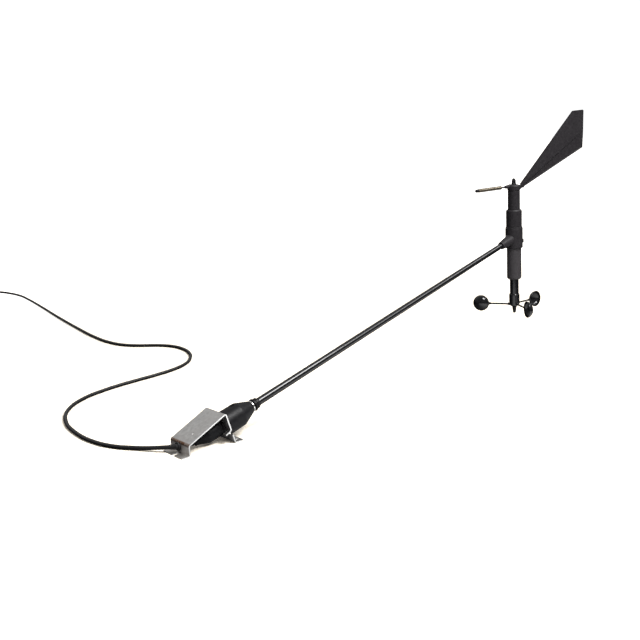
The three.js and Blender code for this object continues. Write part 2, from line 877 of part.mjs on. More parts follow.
// A moulded grommet in the rear wall, with a snout that turns the cable aside.
function strainReliefGeometry() {
  const at = (x) => v3(x, GLAND_Y, GLAND_Z);
  const neck = rodBetween(at(wallRear - 1), at(wallRear + 3), GLAND_HOLE_RADIUS - 0.3);
  const innerFlange = rodBetween(at(wallRear + SHEET + 0.4), at(wallRear + SHEET + 1.9), 5.8);
  const outerFlange = rodBetween(at(wallRear - 2.8), at(wallRear - 0.35), 7.3);
  const snoutStart = v3(wallRear - 1.6, GLAND_Y + 0.5, GLAND_Z);
  const snout = rodBetween(snoutStart, SNOUT_END, 4.9, 4.2);
  const root = new THREE.SphereGeometry(5, 16, 10);
  root.translate(wallRear - 1.8, GLAND_Y + 0.4, GLAND_Z);
  const keep = box([wallRear - 20, -20, 0], [wallRear - 0.35, 40, 30]);
  const outer = toSolid(snout).add(toSolid(root)).intersect(toSolid(keep));
  return shaped(neck, { add: [innerFlange, outerFlange, toGeometry(outer)] });
}

// The cable's route along the ground, from the grommet to its coil.
const cableRoute = [
  v3(-101.8, 16.4, 8.4),
  v3(-110, 27, 7.4),
  v3(-124, 49, 5),
  v3(-136, 68, 4),
  v3(-155, 101, CABLE_REST),
  v3(-167, 144, CABLE_REST),
  v3(-168, 216, CABLE_REST),
  v3(-152, 292, CABLE_REST),
  v3(-117, 357, CABLE_REST),
  v3(-66, 402, CABLE_REST),
  v3(-13, 424, CABLE_REST),
  v3(35, 435, CABLE_REST),
  v3(82, 441, CABLE_REST),
  v3(129, 447, CABLE_REST),
  v3(174, 458, CABLE_REST),
  v3(214, 480, CABLE_REST),
  v3(247, 515, CABLE_REST),
  v3(272, 560, CABLE_REST),
  v3(284, 610, CABLE_REST),
  v3(281, 654, CABLE_REST),
  v3(262, 692, CABLE_REST),
  v3(234, 724, CABLE_REST),
  v3(212, 762, CABLE_REST),
  v3(202, 820, CABLE_REST),
  v3(206, 910, CABLE_REST),
  v3(228, 1066, CABLE_REST),
  v3(260, 1260, CABLE_REST),
  v3(300, 1480, CABLE_REST),
  v3(330, 1660, CABLE_REST),
  v3(341, 1750, CABLE_REST),
  v3(339, 1830, CABLE_REST),
  v3(327, 1898, CABLE_REST),
  v3(302, 1952, CABLE_REST + 1),
];

function cableAlong(points, steps, sides) {
  const section = new THREE.Shape();
  for (let i = 0; i < sides; i += 1) {
    const angle = (i * TURN) / sides;
    const place = [CABLE_RADIUS * Math.cos(angle), CABLE_RADIUS * Math.sin(angle)];
    if (i === 0) section.moveTo(...place);
    else section.lineTo(...place);
  }
  section.closePath();
  const path = new THREE.CatmullRomCurve3(points, false, "centripetal");
  return closed(new THREE.ExtrudeGeometry(section, { steps, extrudePath: path }));
}

const COIL_TOP = COIL_BASE + COIL_LAYERS * TURN_PITCH;

function coilGeometry() {
  const half = (COIL_COLUMNS * TURN_PITCH) / 2;
  const top = COIL_TOP;
  const ease = 2.6; // the corners of its section are taken off by this much
  const ring = turned(
    [
      [COIL_MIDDLE - half, COIL_BASE + ease],
      [COIL_MIDDLE - half + ease, COIL_BASE],
      [COIL_MIDDLE + half - ease, COIL_BASE],
      [COIL_MIDDLE + half, COIL_BASE + ease],
      [COIL_MIDDLE + half, top - ease],
      [COIL_MIDDLE + half - ease, top],
      [COIL_MIDDLE - half + ease, top],
      [COIL_MIDDLE - half, top - ease],
      [COIL_MIDDLE - half, COIL_BASE + ease],
    ],
    32,
  );
  return ring.translate(COIL_CENTRE.x, COIL_CENTRE.y, 0);
}

// The cable's end leaves the top of the coil and carries its plug, which lies on the coil.
const PLUG_RADIUS = 8;
const PLUG_ANGLE = rad(150);
const plugHeight = COIL_TOP + PLUG_RADIUS + 0.4;

function onCoil(radius, angle, height) {
  const flat = v3(radius * Math.cos(angle), radius * Math.sin(angle), 0);
  return flat.add(COIL_CENTRE).setZ(height);
}

function instrumentPlugGeometry() {
  return turned([
    [0, 4],
    [3.8, 4],
    [3.8, 0],
    [5, 0],
    [6.2, 12],
    [PLUG_RADIUS, 14],
    [PLUG_RADIUS, 34],
    [6.4, 35],
    [6.4, 46],
    [5.2, 46],
    [5.2, 37],
    [0, 37],
  ]);
}

function cableParts() {
  const tailEnd = socketPoint.clone().addScaledVector(armAxis, -58.8);
  const inside = [
    v3(tailEnd.x, 0, tailEnd.y),
    v3(wallRear + SHEET + 3, GLAND_Y - 0.1, GLAND_Z),
  ];
  add(mount, "bracket_cable", rodBetween(...inside, CABLE_RADIUS, CABLE_RADIUS, 12), cableJacket);
  add(mount, "cable_strain_relief", strainReliefGeometry(), rubber);
  add(mount, "mast_cable_run", cableAlong(cableRoute, 80, 8), cableJacket);
  add(mount, "mast_cable_coil", coilGeometry(), cableJacket);

  const plugStart = onCoil(COIL_MIDDLE, PLUG_ANGLE, plugHeight);
  const heading = v3(-Math.sin(PLUG_ANGLE), Math.cos(PLUG_ANGLE), 0);
  const lift = COIL_TOP + CABLE_RADIUS + 0.4;
  const tail = [
    onCoil(COIL_MIDDLE - 12, PLUG_ANGLE - 1.0, lift),
    onCoil(COIL_MIDDLE - 9, PLUG_ANGLE - 0.75, lift + 0.4),
    onCoil(COIL_MIDDLE - 5, PLUG_ANGLE - 0.45, lift + 2.4),
    onCoil(COIL_MIDDLE - 1, PLUG_ANGLE - 0.22, plugHeight - 0.3),
    plugStart.clone().addScaledVector(heading, -6),
    plugStart.clone().addScaledVector(heading, 3),
  ];
  add(mount, "mast_cable_tail", cableAlong(tail, 12, 8), cableJacket);
  const plug = add(mount, "instrument_plug", instrumentPlugGeometry(), satinBlack);
  plug.position.copy(plugStart);
  plug.quaternion.setFromUnitVectors(v3(0, 0, 1), heading);
}

cableParts();

export default windSensor;
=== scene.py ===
"""A masthead wind sensor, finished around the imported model.

A wind vane and a three-cup rotor share one head at the end of a long arm. The arm plugs
into a folded steel bracket, and the mast cable runs away from it to its coil and plug.
Shapes are drawn in millimetres in local frames and become metres in the row frame.
"""
import json
import math

import bmesh
import bpy
from mathutils import Matrix, Vector


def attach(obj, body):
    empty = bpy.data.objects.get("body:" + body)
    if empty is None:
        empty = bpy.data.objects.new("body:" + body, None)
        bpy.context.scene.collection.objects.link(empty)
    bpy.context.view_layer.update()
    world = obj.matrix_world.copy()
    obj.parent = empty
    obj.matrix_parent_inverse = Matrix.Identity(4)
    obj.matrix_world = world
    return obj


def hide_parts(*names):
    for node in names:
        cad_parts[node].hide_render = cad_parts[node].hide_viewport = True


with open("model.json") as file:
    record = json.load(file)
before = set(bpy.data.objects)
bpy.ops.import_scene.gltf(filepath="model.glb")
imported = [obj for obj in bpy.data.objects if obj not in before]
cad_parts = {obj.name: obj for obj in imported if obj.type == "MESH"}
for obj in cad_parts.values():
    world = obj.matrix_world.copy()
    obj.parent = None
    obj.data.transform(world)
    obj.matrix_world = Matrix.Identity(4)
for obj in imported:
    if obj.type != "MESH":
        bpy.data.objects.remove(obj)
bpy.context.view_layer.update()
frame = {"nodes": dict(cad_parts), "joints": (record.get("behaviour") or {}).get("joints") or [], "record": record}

MM = 0.001
TURN = 2 * math.pi
rad = math.radians

# ---- Frames --------------------------------------------------------------------------

joints = {joint["name"]: joint for joint in frame["joints"]}
BODY_OF = {
    node: body
    for body, members in frame["record"]["behaviour"]["bodies"].items()
    for node in members
}
SLOT_OF = {part["node"]: part["material_slot"] for part in frame["record"]["subparts"]}

ACROSS = Vector((0, 1, 0))
ARM_AXIS = Vector(joints["arm_unplug"]["axis"]).normalized()
FACE_UP = ARM_AXIS.cross(ACROSS)
SOCKET = Vector(joints["coupling_turn"]["pos_m"])
HEAD = Vector(joints["vane_turn"]["pos_m"])
ARM_LENGTH = (HEAD - SOCKET).length / MM


def axes(x, y, z, origin):
    """The matrix of a frame with these axes."""
    matrix = Matrix((x, y, z)).transposed().to_4x4()
    matrix.translation = origin
    return matrix


VANE_AZIMUTH = rad(-25)
COUNTERWEIGHT_HEIGHT = 108.8
COUNTERWEIGHT_DROOP = rad(3.6)
ROTOR_HEIGHT = -143
CUP_AZIMUTH = rad(118.5)
CUP_COUNT = 3

WORLD = Matrix.Identity(4)
ARM_FRAME = axes(ACROSS.cross(ARM_AXIS), ACROSS, ARM_AXIS, SOCKET)
HEAD_FRAME = Matrix.Translation(HEAD)
BOSS_FRAME = axes(ACROSS.cross(ARM_AXIS), ACROSS, ARM_AXIS, Vector((0, 0, 0)))
VANE_FRAME = HEAD_FRAME @ Matrix.Rotation(VANE_AZIMUTH, 4, "Z")
COUNTERWEIGHT_FRAME = (
    VANE_FRAME
    @ Matrix.Translation((0, 0, COUNTERWEIGHT_HEIGHT * MM))
    @ Matrix.Rotation(-math.pi / 2 - COUNTERWEIGHT_DROOP, 4, "Y")
)
ROTOR_FRAME = HEAD_FRAME @ Matrix.Translation((0, 0, ROTOR_HEIGHT * MM))


def spoke_frame(i):
    """A cup arm's frame: +X runs out along it."""
    return ROTOR_FRAME @ Matrix.Rotation(CUP_AZIMUTH + i * TURN / CUP_COUNT, 4, "Z")


# ---- Camera --------------------------------------------------------------------------

LENS = 49.04
CAMERA_PLACE = Vector((-0.7477, -1.1548, 0.4738))
CAMERA_HEADING = rad(39.6)
CAMERA_PITCH = rad(11.71)
CAMERA_ROLL = rad(-2.95)


def add_camera():
    data = bpy.data.cameras.new("camera")
    data.sensor_width = 36
    data.lens = LENS
    data.clip_end = 60
    camera = bpy.data.objects.new("camera", data)
    camera.matrix_world = (
        Matrix.Translation(CAMERA_PLACE)
        @ Matrix.Rotation(-CAMERA_HEADING, 4, "Z")
        @ Matrix.Rotation(math.pi / 2 - CAMERA_PITCH, 4, "X")
        @ Matrix.Rotation(CAMERA_ROLL, 4, "Z")
    )
    bpy.context.scene.collection.objects.link(camera)
    bpy.context.scene.camera = camera


add_camera()

# ---- Materials -----------------------------------------------------------------------


class Surface:
    """A Principled material whose colour, roughness and bump come from noise."""

    def __init__(self, name, metallic=0.0, coat=0.0, specular=0.5):
        self.material = bpy.data.materials.new(name)
        self.material.use_nodes = True
        self.tree = self.material.node_tree
        self.shader = self.tree.nodes["Principled BSDF"]
        self.shader.inputs["Metallic"].default_value = metallic
        self.shader.inputs["Coat Weight"].default_value = coat
        self.shader.inputs["Specular IOR Level"].default_value = specular
        self.shader.inputs["IOR"].default_value = 1.5
        self.place = self.tree.nodes.new("ShaderNodeTexCoord").outputs["Object"]

    def link(self, source, target):
        self.tree.links.new(source, target)

    def noise(self, scale, detail=3.0, stretch=(1, 1, 1), tilt=0.0, distortion=0.0):
        """Noise with this many cells a metre. Stretch is cells along X, Y and Z."""
        mapping = self.tree.nodes.new("ShaderNodeMapping")
        mapping.inputs["Rotation"].default_value = (0, tilt, 0)
        mapping.inputs["Scale"].default_value = stretch
        texture = self.tree.nodes.new("ShaderNodeTexNoise")
        texture.inputs["Scale"].default_value = scale
        texture.inputs["Detail"].default_value = detail
        texture.inputs["Distortion"].default_value = distortion
        self.link(self.place, mapping.inputs["Vector"])
        self.link(mapping.outputs["Vector"], texture.inputs["Vector"])
        return texture.outputs["Fac"]

    def spread(self, value, low, high, start=0.3, end=0.7):
        """Maps start..end of a value to low..high."""
        node = self.tree.nodes.new("ShaderNodeMapRange")
        node.inputs["From Min"].default_value = start
        node.inputs["From Max"].default_value = end
        node.inputs["To Min"].default_value = low
        node.inputs["To Max"].default_value = high
        self.link(value, node.inputs["Value"])
        return node.outputs["Result"]

    def times(self, first, second):
        node = self.tree.nodes.new("ShaderNodeMath")
        node.operation = "MULTIPLY"
        self.link(first, node.inputs[0])
        self.link(second, node.inputs[1])
        return node.outputs["Value"]

    def along(self, axis):
        """The place along X, Y or Z, in metres."""
        node = self.tree.nodes.new("ShaderNodeSeparateXYZ")
        self.link(self.place, node.inputs["Vector"])
        return node.outputs[axis]

    def facing(self, axis):
        """1 where the surface faces straight along an axis, either way, and 0 elsewhere."""
        node = self.tree.nodes.new("ShaderNodeSeparateXYZ")
        self.link(self.tree.nodes["Texture Coordinate"].outputs["Normal"], node.inputs["Vector"])
        size = self.tree.nodes.new("ShaderNodeMath")
        size.operation = "ABSOLUTE"
        self.link(node.outputs[axis], size.inputs[0])
        return self.spread(size.outputs["Value"], 0, 1, start=0.5, end=0.9)

    def mix(self, factor, first, second):
        """Mixes two colours; each is a linear RGB tuple or a socket."""
        node = self.tree.nodes.new("ShaderNodeMix")
        node.data_type = "RGBA"
        self.link(factor, node.inputs["Factor"])
        for colour, socket in ((first, node.inputs["A"]), (second, node.inputs["B"])):
            if isinstance(colour, tuple):
                socket.default_value = (*colour, 1)
            else:
                self.link(colour, socket)
        return node.outputs["Result"]

    def colour(self, socket):
        self.link(socket, self.shader.inputs["Base Color"])

    def roughness(self, socket):
        self.link(socket, self.shader.inputs["Roughness"])

    def bump(self, height, depth, strength=1.0, after=None):
        """Depth is the real height of the relief, in millimetres."""
        node = self.tree.nodes.new("ShaderNodeBump")
        node.inputs["Strength"].default_value = strength
        node.inputs["Distance"].default_value = depth * MM
        self.link(height, node.inputs["Height"])
        if after is not None:
            self.link(after, node.inputs["Normal"])
        self.link(node.outputs["Normal"], self.shader.inputs["Normal"])
        return node.outputs["Normal"]


def folded_stainless():
    """Cold-rolled sheet: mottled, with bright cut edges. Its rear wall and foot get a lighter grey as a painted
    reflection of the bright floor, and the bend atop the rear wall gets a painted brown reflection.
    """
    surface = Surface("folded_stainless", metallic=1.0)
    brushed = surface.noise(900, 4, stretch=(0.12, 1, 1))
    mottle = surface.noise(160, 5, distortion=0.6)
    cloud = surface.noise(28, 2)
    grey = surface.mix(surface.spread(mottle, 0, 1), (0.46, 0.455, 0.445), (0.68, 0.675, 0.665))
    grey = surface.mix(surface.spread(cloud, 0, 0.6), grey, (0.57, 0.55, 0.53))
    # Painted reflection: the rear wall and rear foot get a lighter grey that stands in for the bright floor they
    # reflect.
    rear = surface.spread(surface.along("X"), 1, 0, start=-0.0919, end=-0.0899)
    painted_wall_reflection = surface.mix(surface.spread(mottle, 0, 1), (0.62, 0.58, 0.54), (0.78, 0.76, 0.74))
    grey = surface.mix(rear, grey, painted_wall_reflection)
    # Painted reflection: a brown band across the bend atop the rear wall, mottled by noise.
    bend = surface.spread(surface.along("Z"), 0, 1, start=0.0143, end=0.0163)
    below = surface.spread(surface.along("Z"), 1, 0, start=0.0193, end=0.0203)
    near_wall = surface.spread(surface.along("X"), 1, 0, start=-0.0899, end=-0.0869)
    painted_brown_reflection = surface.times(surface.times(bend, below), near_wall)
    painted_brown_reflection = surface.times(painted_brown_reflection, surface.spread(mottle, 0.5, 1, start=0.35, end=0.6))
    grey = surface.mix(painted_brown_reflection, grey, (0.20, 0.105, 0.06))
    cut = surface.facing("Y")
    surface.colour(surface.mix(cut, grey, (0.95, 0.95, 0.94)))
    surface.roughness(surface.spread(brushed, 0.32, 0.5))
    first = surface.bump(brushed, 0.03, 0.4)
    surface.bump(mottle, 0.1, 0.25, after=first)
    return surface.material


def polished_steel(name, tint, low, high):
    """Turned and polished steel with fine handling marks."""
    surface = Surface(name, metallic=1.0)
    marks = surface.noise(1500, 4, stretch=(1, 1, 0.1))
    cloud = surface.noise(200, 3)
    darker = tuple(0.8 * part for part in tint)
    surface.colour(surface.mix(surface.spread(cloud, 0, 1), darker, tint))
    surface.roughness(surface.spread(marks, low, high))
    surface.bump(marks, 0.01, 0.4)
    return surface.material


def weathered_brass():
    """A turned brass weight with a dull brown patina in patches."""
    surface = Surface("weathered_brass", metallic=1.0)
    turning = surface.noise(2200, 2, stretch=(1, 0.3, 1))
    patina = surface.noise(160, 5, distortion=0.8)
    bright = surface.mix(surface.spread(turning, 0, 1), (0.11, 0.097, 0.076), (0.15, 0.133, 0.105))
    surface.colour(surface.mix(surface.spread(patina, 0, 0.8), bright, (0.085, 0.07, 0.05)))
    surface.roughness(surface.spread(patina, 0.35, 0.55))
    surface.bump(turning, 0.02, 0.5)
    return surface.material


def moulded_plastic(name, dark, light, low, high, grain_depth, specular=0.5):
    """Moulded plastic with a fine spark-eroded grain and faint flow marks."""
    surface = Surface(name, specular=specular)
    grain = surface.noise(3800, 2)
    flow = surface.noise(220, 4, distortion=0.4)
    surface.colour(surface.mix(surface.spread(flow, 0, 1), dark, light))
    surface.roughness(surface.spread(flow, low, high))
    first = surface.bump(grain, grain_depth, 0.55)
    surface.bump(flow, 0.05, 0.2, after=first)
    return surface.material


def gloss_paint():
    """Gloss black coating with fine lengthwise rub marks and a slight orange peel."""
    surface = Surface("gloss_black_coating")
    rub = surface.noise(700, 3, stretch=(0.05, 1, 1), tilt=-math.asin(ARM_AXIS.z))
    surface.colour(surface.mix(surface.spread(rub, 0, 1), (0.002, 0.002, 0.003), (0.005, 0.005, 0.006)))
    surface.roughness(surface.spread(rub, 0.12, 0.2))
    surface.bump(surface.noise(300, 2), 0.02, 0.15)
    return surface.material


def soft_rubber(name, dark, light, low, high):
    """Rubber or cable jacket: a matt skin with talc bloom and a slight waviness."""
    surface = Surface(name)
    skin = surface.noise(2400, 3)
    bloom = surface.noise(70, 4, distortion=0.5)
    surface.colour(surface.mix(surface.spread(bloom, 0, 1), dark, light))
    surface.roughness(surface.spread(bloom, low, high))
    first = surface.bump(skin, 0.012, 0.35)
    surface.bump(surface.noise(160, 2), 0.1, 0.2, after=first)
    return surface.material


def circuit_board():
    """Green solder mask over copper tracks."""
    surface = Surface("circuit_board", coat=0.3)
    brick = surface.tree.nodes.new("ShaderNodeTexBrick")
    brick.inputs["Scale"].default_value = 420
    brick.inputs["Mortar Size"].default_value = 0.045
    brick.inputs["Color1"].default_value = (0.012, 0.09, 0.035, 1)
    brick.inputs["Color2"].default_value = (0.016, 0.11, 0.045, 1)
    brick.inputs["Mortar"].default_value = (0.05, 0.2, 0.07, 1)
    surface.link(surface.place, brick.inputs["Vector"])
    surface.colour(brick.outputs["Color"])
    surface.roughness(surface.spread(surface.noise(900), 0.3, 0.45))
    surface.bump(brick.outputs["Fac"], 0.03, 0.4)
    return surface.material


MATERIALS = {
    "stainless": folded_stainless(),
    "bright_steel": polished_steel("bright_spring_steel", (0.8, 0.8, 0.78), 0.1, 0.2),
    "bearing_steel": polished_steel("bearing_steel", (0.55, 0.56, 0.57), 0.18, 0.3),
    "brass": weathered_brass(),
    "gold_contact": polished_steel("gold_contact", (0.8, 0.56, 0.22), 0.15, 0.3),
    "charcoal_plastic": moulded_plastic(
        "charcoal_plastic", (0.016, 0.014, 0.016), (0.023, 0.021, 0.023), 0.42, 0.55, 0.03, 0.18
    ),
    "charcoal_light_plastic": moulded_plastic(
        "charcoal_light_plastic", (0.033, 0.030, 0.032), (0.043, 0.039, 0.042), 0.45, 0.6, 0.03, 0.25
    ),
    "gloss_black": gloss_paint(),
    "satin_black": moulded_plastic(
        "satin_black_plastic", (0.005, 0.005, 0.006), (0.008, 0.008, 0.009), 0.38, 0.48, 0.015, 0.18
    ),
    "rubber": soft_rubber("black_rubber", (0.011, 0.011, 0.012), (0.02, 0.02, 0.02), 0.6, 0.8),
    "cable_jacket": soft_rubber(
        "cable_jacket", (0.009, 0.009, 0.010), (0.017, 0.017, 0.018), 0.34, 0.5
    ),
    "circuit_board": circuit_board(),
    "magnet": polished_steel("sintered_magnet", (0.2, 0.2, 0.21), 0.35, 0.55),
    "insulator": moulded_plastic(
        "black_insulator", (0.012, 0.012, 0.013), (0.02, 0.02, 0.021), 0.4, 0.6, 0.02
    ),
}

# ---- Shape helpers, in millimetres ---------------------------------------------------


def filleted(corners, steps=5, closed=True):
    """Corners are (a, b) or (a, b, radius), and each radius becomes an arc."""
    points = []
    count = len(corners)
    for i, corner in enumerate(corners):
        here = Vector(corner[:2])
        radius = corner[2] if len(corner) > 2 else 0
        at_end = not closed and i in (0, count - 1)
        if radius == 0 or at_end:
            points.append(here)
            continue
        before = (Vector(corners[i - 1][:2]) - here).normalized()
        after = (Vector(corners[(i + 1) % count][:2]) - here).normalized()
        half = before.angle(after) / 2
        centre = here + (before + after).normalized() * (radius / math.sin(half))
        reach = radius / math.tan(half)
        start = here + before * reach - centre
        end = here + after * reach - centre
        first = math.atan2(start.y, start.x)
        sweep = (math.atan2(end.y, end.x) - first + math.pi) % TURN - math.pi
        for step in range(steps + 1):
            angle = first + sweep * step / steps
            points.append(centre + radius * Vector((math.cos(angle), math.sin(angle))))
    return [(point.x, point.y) for point in points]


def arc(radius, first, last, steps, centre=(0, 0)):
    """Points on an arc, from one angle to another."""
    return [
        (
            centre[0] + radius * math.cos(first + (last - first) * i / steps),
            centre[1] + radius * math.sin(first + (last - first) * i / steps),
        )
        for i in range(steps + 1)
    ]


def ridges(radius, depth, start, end, count):
    """Rounded thread ridges along a profile, from one height to another."""
    pitch = (end - start) / count
    shares = (0.15, 0.4, 0.6, 0.85)
    dips = (0.0, 1.0, 1.0, 0.0)
    return [
        (radius - depth * dip, start + pitch * (i + share))
        for i in range(count)
        for share, dip in zip(shares, dips)
    ]


def lathe(profile, segments=72, dip=None):
    """A closed profile of (radius, height) turned about Z.

    dip(angle, radius, height) may lower the surface, to make flutes.
    """
    shape = bmesh.new()
    on_axis = {
        j: shape.verts.new((0, 0, height))
        for j, (radius, height) in enumerate(profile)
        if radius < 1e-6
    }
    rings = []
    for i in range(segments):
        angle = TURN * i / segments
        ring = []
        for j, (radius, height) in enumerate(profile):
            if j in on_axis:
                ring.append(on_axis[j])
                continue
            reach = radius - (dip(angle, radius, height) if dip else 0)
            ring.append(
                shape.verts.new((reach * math.cos(angle), reach * math.sin(angle), height))
            )
        rings.append(ring)
    for i in range(segments):
        here, there = rings[i], rings[(i + 1) % segments]
        for j in range(len(profile)):
            k = (j + 1) % len(profile)
            corners = []
            for corner in (here[j], there[j], there[k], here[k]):
                if corner not in corners:
                    corners.append(corner)
            if len(corners) > 2:
                shape.faces.new(corners)
    return shape


def turned(corners, steps=5, segments=96, closed=True, dip=None):
    """Corners rounded and turned about Z. Open ones start and end on the axis."""
    return lathe(filleted(corners, steps, closed), segments, dip)


def flutes(count, depth, low, high):
    """A dip for lathe that presses rounded flutes between two heights."""

    def dip(angle, radius, height):
        if not low < height < high:
            return 0
        return depth * (0.5 - 0.5 * math.cos(count * angle)) ** 2

    return dip


def rod(radius, low, high, edge=0.0, segments=48):
    corners = [(0, low), (radius, low, edge), (radius, high, edge), (0, high)]
    return turned(corners, 5, segments, closed=False)


def ring(inner, outer, low, high, edge=0.2, segments=72):
    corners = [(inner, low, edge), (outer, low, edge), (outer, high, edge), (inner, high, edge)]
    return turned(corners, 3, segments)


def slab(outline, low, high):
    """An outline in X and Z, given a thickness along Y."""
    shape = bmesh.new()
    near = [shape.verts.new((x, low, z)) for x, z in outline]
    far = [shape.verts.new((x, high, z)) for x, z in outline]
    shape.faces.new(near)
    shape.faces.new(list(reversed(far)))
    for i in range(len(outline)):
        j = (i + 1) % len(outline)
        shape.faces.new((near[i], far[i], far[j], near[j]))
    bmesh.ops.recalc_face_normals(shape, faces=shape.faces)
    return shape


def block(low, high):
    return slab(
        [(low[0], low[2]), (high[0], low[2]), (high[0], high[2]), (low[0], high[2])],
        low[1],
        high[1],
    )


def sweep(points, radii, sides=32):
    """A round bar along points, with a radius at each, and flat ends."""
    shape = bmesh.new()
    places = [Vector(point) for point in points]
    rings = []
    side = None
    for i, place in enumerate(places):
        ahead = places[min(i + 1, len(places) - 1)] - places[max(i - 1, 0)]
        ahead.normalize()
        if side is None:
            side = ahead.orthogonal().normalized()
        side = (side - ahead * side.dot(ahead)).normalized()
        up = ahead.cross(side)
        rings.append(
            [
                shape.verts.new(
                    place
                    + radii[i] * math.cos(TURN * k / sides) * side
                    + radii[i] * math.sin(TURN * k / sides) * up
                )
                for k in range(sides)
            ]
        )
    for here, there in zip(rings, rings[1:]):
        for k in range(sides):
            m = (k + 1) % sides
            shape.faces.new((here[k], here[m], there[m], there[k]))
    shape.faces.new(list(reversed(rings[0])))
    shape.faces.new(rings[-1])
    return shape


def moved(shape, matrix):
    shape.transform(matrix)
    return shape


def between(shape, start, end):
    """A piece made about +Z from 0 up, laid from start towards end."""
    direction = Vector(end) - Vector(start)
    turn = direction.to_track_quat("Z", "Y").to_matrix().to_4x4()
    return moved(shape, Matrix.Translation(start) @ turn)


def holder_of(shape):
    mesh = bpy.data.meshes.new("working")
    bmesh.ops.recalc_face_normals(shape, faces=shape.faces)
    shape.to_mesh(mesh)
    shape.free()
    holder = bpy.data.objects.new("working", mesh)
    bpy.context.scene.collection.objects.link(holder)
    return holder


def combined(shape, others, operation):
    """One closed shape, joined with others by UNION or cut by them by DIFFERENCE."""
    holders = [holder_of(each) for each in (shape, *others)]
    for other in holders[1:]:
        modifier = holders[0].modifiers.new("combine", "BOOLEAN")
        modifier.operation = operation
        modifier.solver = "EXACT"
        modifier.object = other
    seen = holders[0].evaluated_get(bpy.context.evaluated_depsgraph_get())
    mesh = bpy.data.meshes.new_from_object(seen)
    result = bmesh.new()
    result.from_mesh(mesh)
    for holder in holders:
        bpy.data.objects.remove(holder)
    bpy.data.meshes.remove(mesh)
    bmesh.ops.remove_doubles(result, verts=result.verts, dist=1e-3)
    return result


def softened(shape, width, segments=2, angle=30):
    """Rounds every edge that turns by more than the angle."""
    bmesh.ops.dissolve_limit(
        shape, angle_limit=rad(0.5), verts=shape.verts, edges=shape.edges, delimit={"NORMAL"}
    )
    edges = [edge for edge in shape.edges if edge.is_manifold and edge.calc_face_angle() > rad(angle)]
    bmesh.ops.bevel(
        shape, geom=edges, offset=width, segments=segments, profile=0.5, affect="EDGES",
        clamp_overlap=True,
    )
    return shape


def joined(shapes):
    """Several closed shapes in one mesh."""
    result = bmesh.new()
    for shape in shapes:
        mesh = bpy.data.meshes.new("working")
        shape.to_mesh(mesh)
        shape.free()
        result.from_mesh(mesh)
        bpy.data.meshes.remove(mesh)
    return result


def piece(name, shape, place, *nodes, slot=None, body=None, sharp=38):
    """Puts a finished shape in the row frame, on its body, in place of CAD nodes."""
    slot = slot or SLOT_OF[nodes[0]]
    mesh = bpy.data.meshes.new(name)
    bmesh.ops.recalc_face_normals(shape, faces=shape.faces)
    shape.transform(place @ Matrix.Scale(MM, 4))
    shape.to_mesh(mesh)
    shape.free()
    mesh.shade_smooth()
    mesh.set_sharp_from_angle(angle=rad(sharp))
    mesh.materials.append(MATERIALS[slot])
    made = bpy.data.objects.new(name, mesh)
    bpy.context.scene.collection.objects.link(made)
    weighted = made.modifiers.new("even shading", "WEIGHTED_NORMAL")
    weighted.keep_sharp = True
    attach(made, body or BODY_OF[nodes[0]])
    if nodes:
        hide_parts(*nodes)
    return made


# ---- Mast cable ----------------------------------------------------------------------

CABLE_RADIUS = 3.5
SNOUT_END = Vector((-101.5, 16, 8.4))
COIL_CENTRE = Vector((200, 1940, 0))
COIL_MIDDLE = 76
TURN_PITCH = 7.2
COIL_COLUMNS = 6
COIL_LAYERS = 7
COIL_BASE = 1.8
COIL_TOP = COIL_BASE + COIL_LAYERS * TURN_PITCH
PLUG_RADIUS = 8
PLUG_ANGLE = rad(150)
PLUG_HEIGHT = COIL_TOP + PLUG_RADIUS + 0.4

ROUTE = [
    (-0.1018, 0.0164, 0.0084),
    (-0.110, 0.027, 0.0074),
    (-0.124, 0.049, 0.005),
    (-0.136, 0.068, 0.004),
    (-0.155, 0.101, 0.0036),
    (-0.167, 0.144, 0.0036),
    (-0.168, 0.216, 0.0036),
    (-0.152, 0.292, 0.0036),
    (-0.117, 0.357, 0.0036),
    (-0.066, 0.402, 0.0036),
    (-0.013, 0.424, 0.0036),
    (0.035, 0.435, 0.0036),
    (0.082, 0.441, 0.0036),
    (0.129, 0.447, 0.0036),
    (0.174, 0.458, 0.0036),
    (0.214, 0.480, 0.0036),
    (0.247, 0.515, 0.0036),
    (0.272, 0.560, 0.0036),
    (0.284, 0.610, 0.0036),
    (0.281, 0.654, 0.0036),
    (0.262, 0.692, 0.0036),
    (0.234, 0.724, 0.0036),
    (0.212, 0.762, 0.0036),
    (0.202, 0.820, 0.0036),
    (0.206, 0.910, 0.0036),
    (0.228, 1.066, 0.0036),
    (0.260, 1.260, 0.0036),
    (0.300, 1.480, 0.0036),
    (0.330, 1.660, 0.0036),
    (0.341, 1.750, 0.0036),
    (0.339, 1.830, 0.0036),
    (0.327, 1.898, 0.0036),
    (0.302, 1.952, 0.0046),
]
COIL_STEPS = 20  # points a turn
RISE_SHARE = 0.15  # of a turn, to climb to the next layer


def on_coil(radius, angle, height):
    """A place over the coil, in metres."""
    flat = Vector((radius * math.cos(angle), radius * math.sin(angle), height))
    return (flat + COIL_CENTRE) * MM


def coil_turns(first_angle):
    """The cable's centreline in the coil: flat spirals, inwards and outwards in turn."""
    half = (COIL_COLUMNS - 1) * TURN_PITCH / 2
    climb = RISE_SHARE * TURN
    spiral = (COIL_COLUMNS - 1) * TURN
    points = []
    angle = first_angle
    for layer in range(COIL_LAYERS):
        direction = -1 if layer % 2 == 0 else 1
        start = COIL_MIDDLE - direction * half
        height = COIL_BASE + (layer + 0.5) * TURN_PITCH
        count = round(COIL_STEPS * (COIL_COLUMNS - 1))
        for i in range(count):
            share = i / count
            radius = start + direction * 2 * half * share
            points.append(on_coil(radius, angle + spiral * share, height))
        angle += spiral
        end = start + direction * 2 * half
        points.append(on_coil(end, angle, height))
        if layer < COIL_LAYERS - 1:
            middle = height + TURN_PITCH / 2
            points.append(on_coil(end, angle + climb / 2, middle))
            angle += climb
    return points


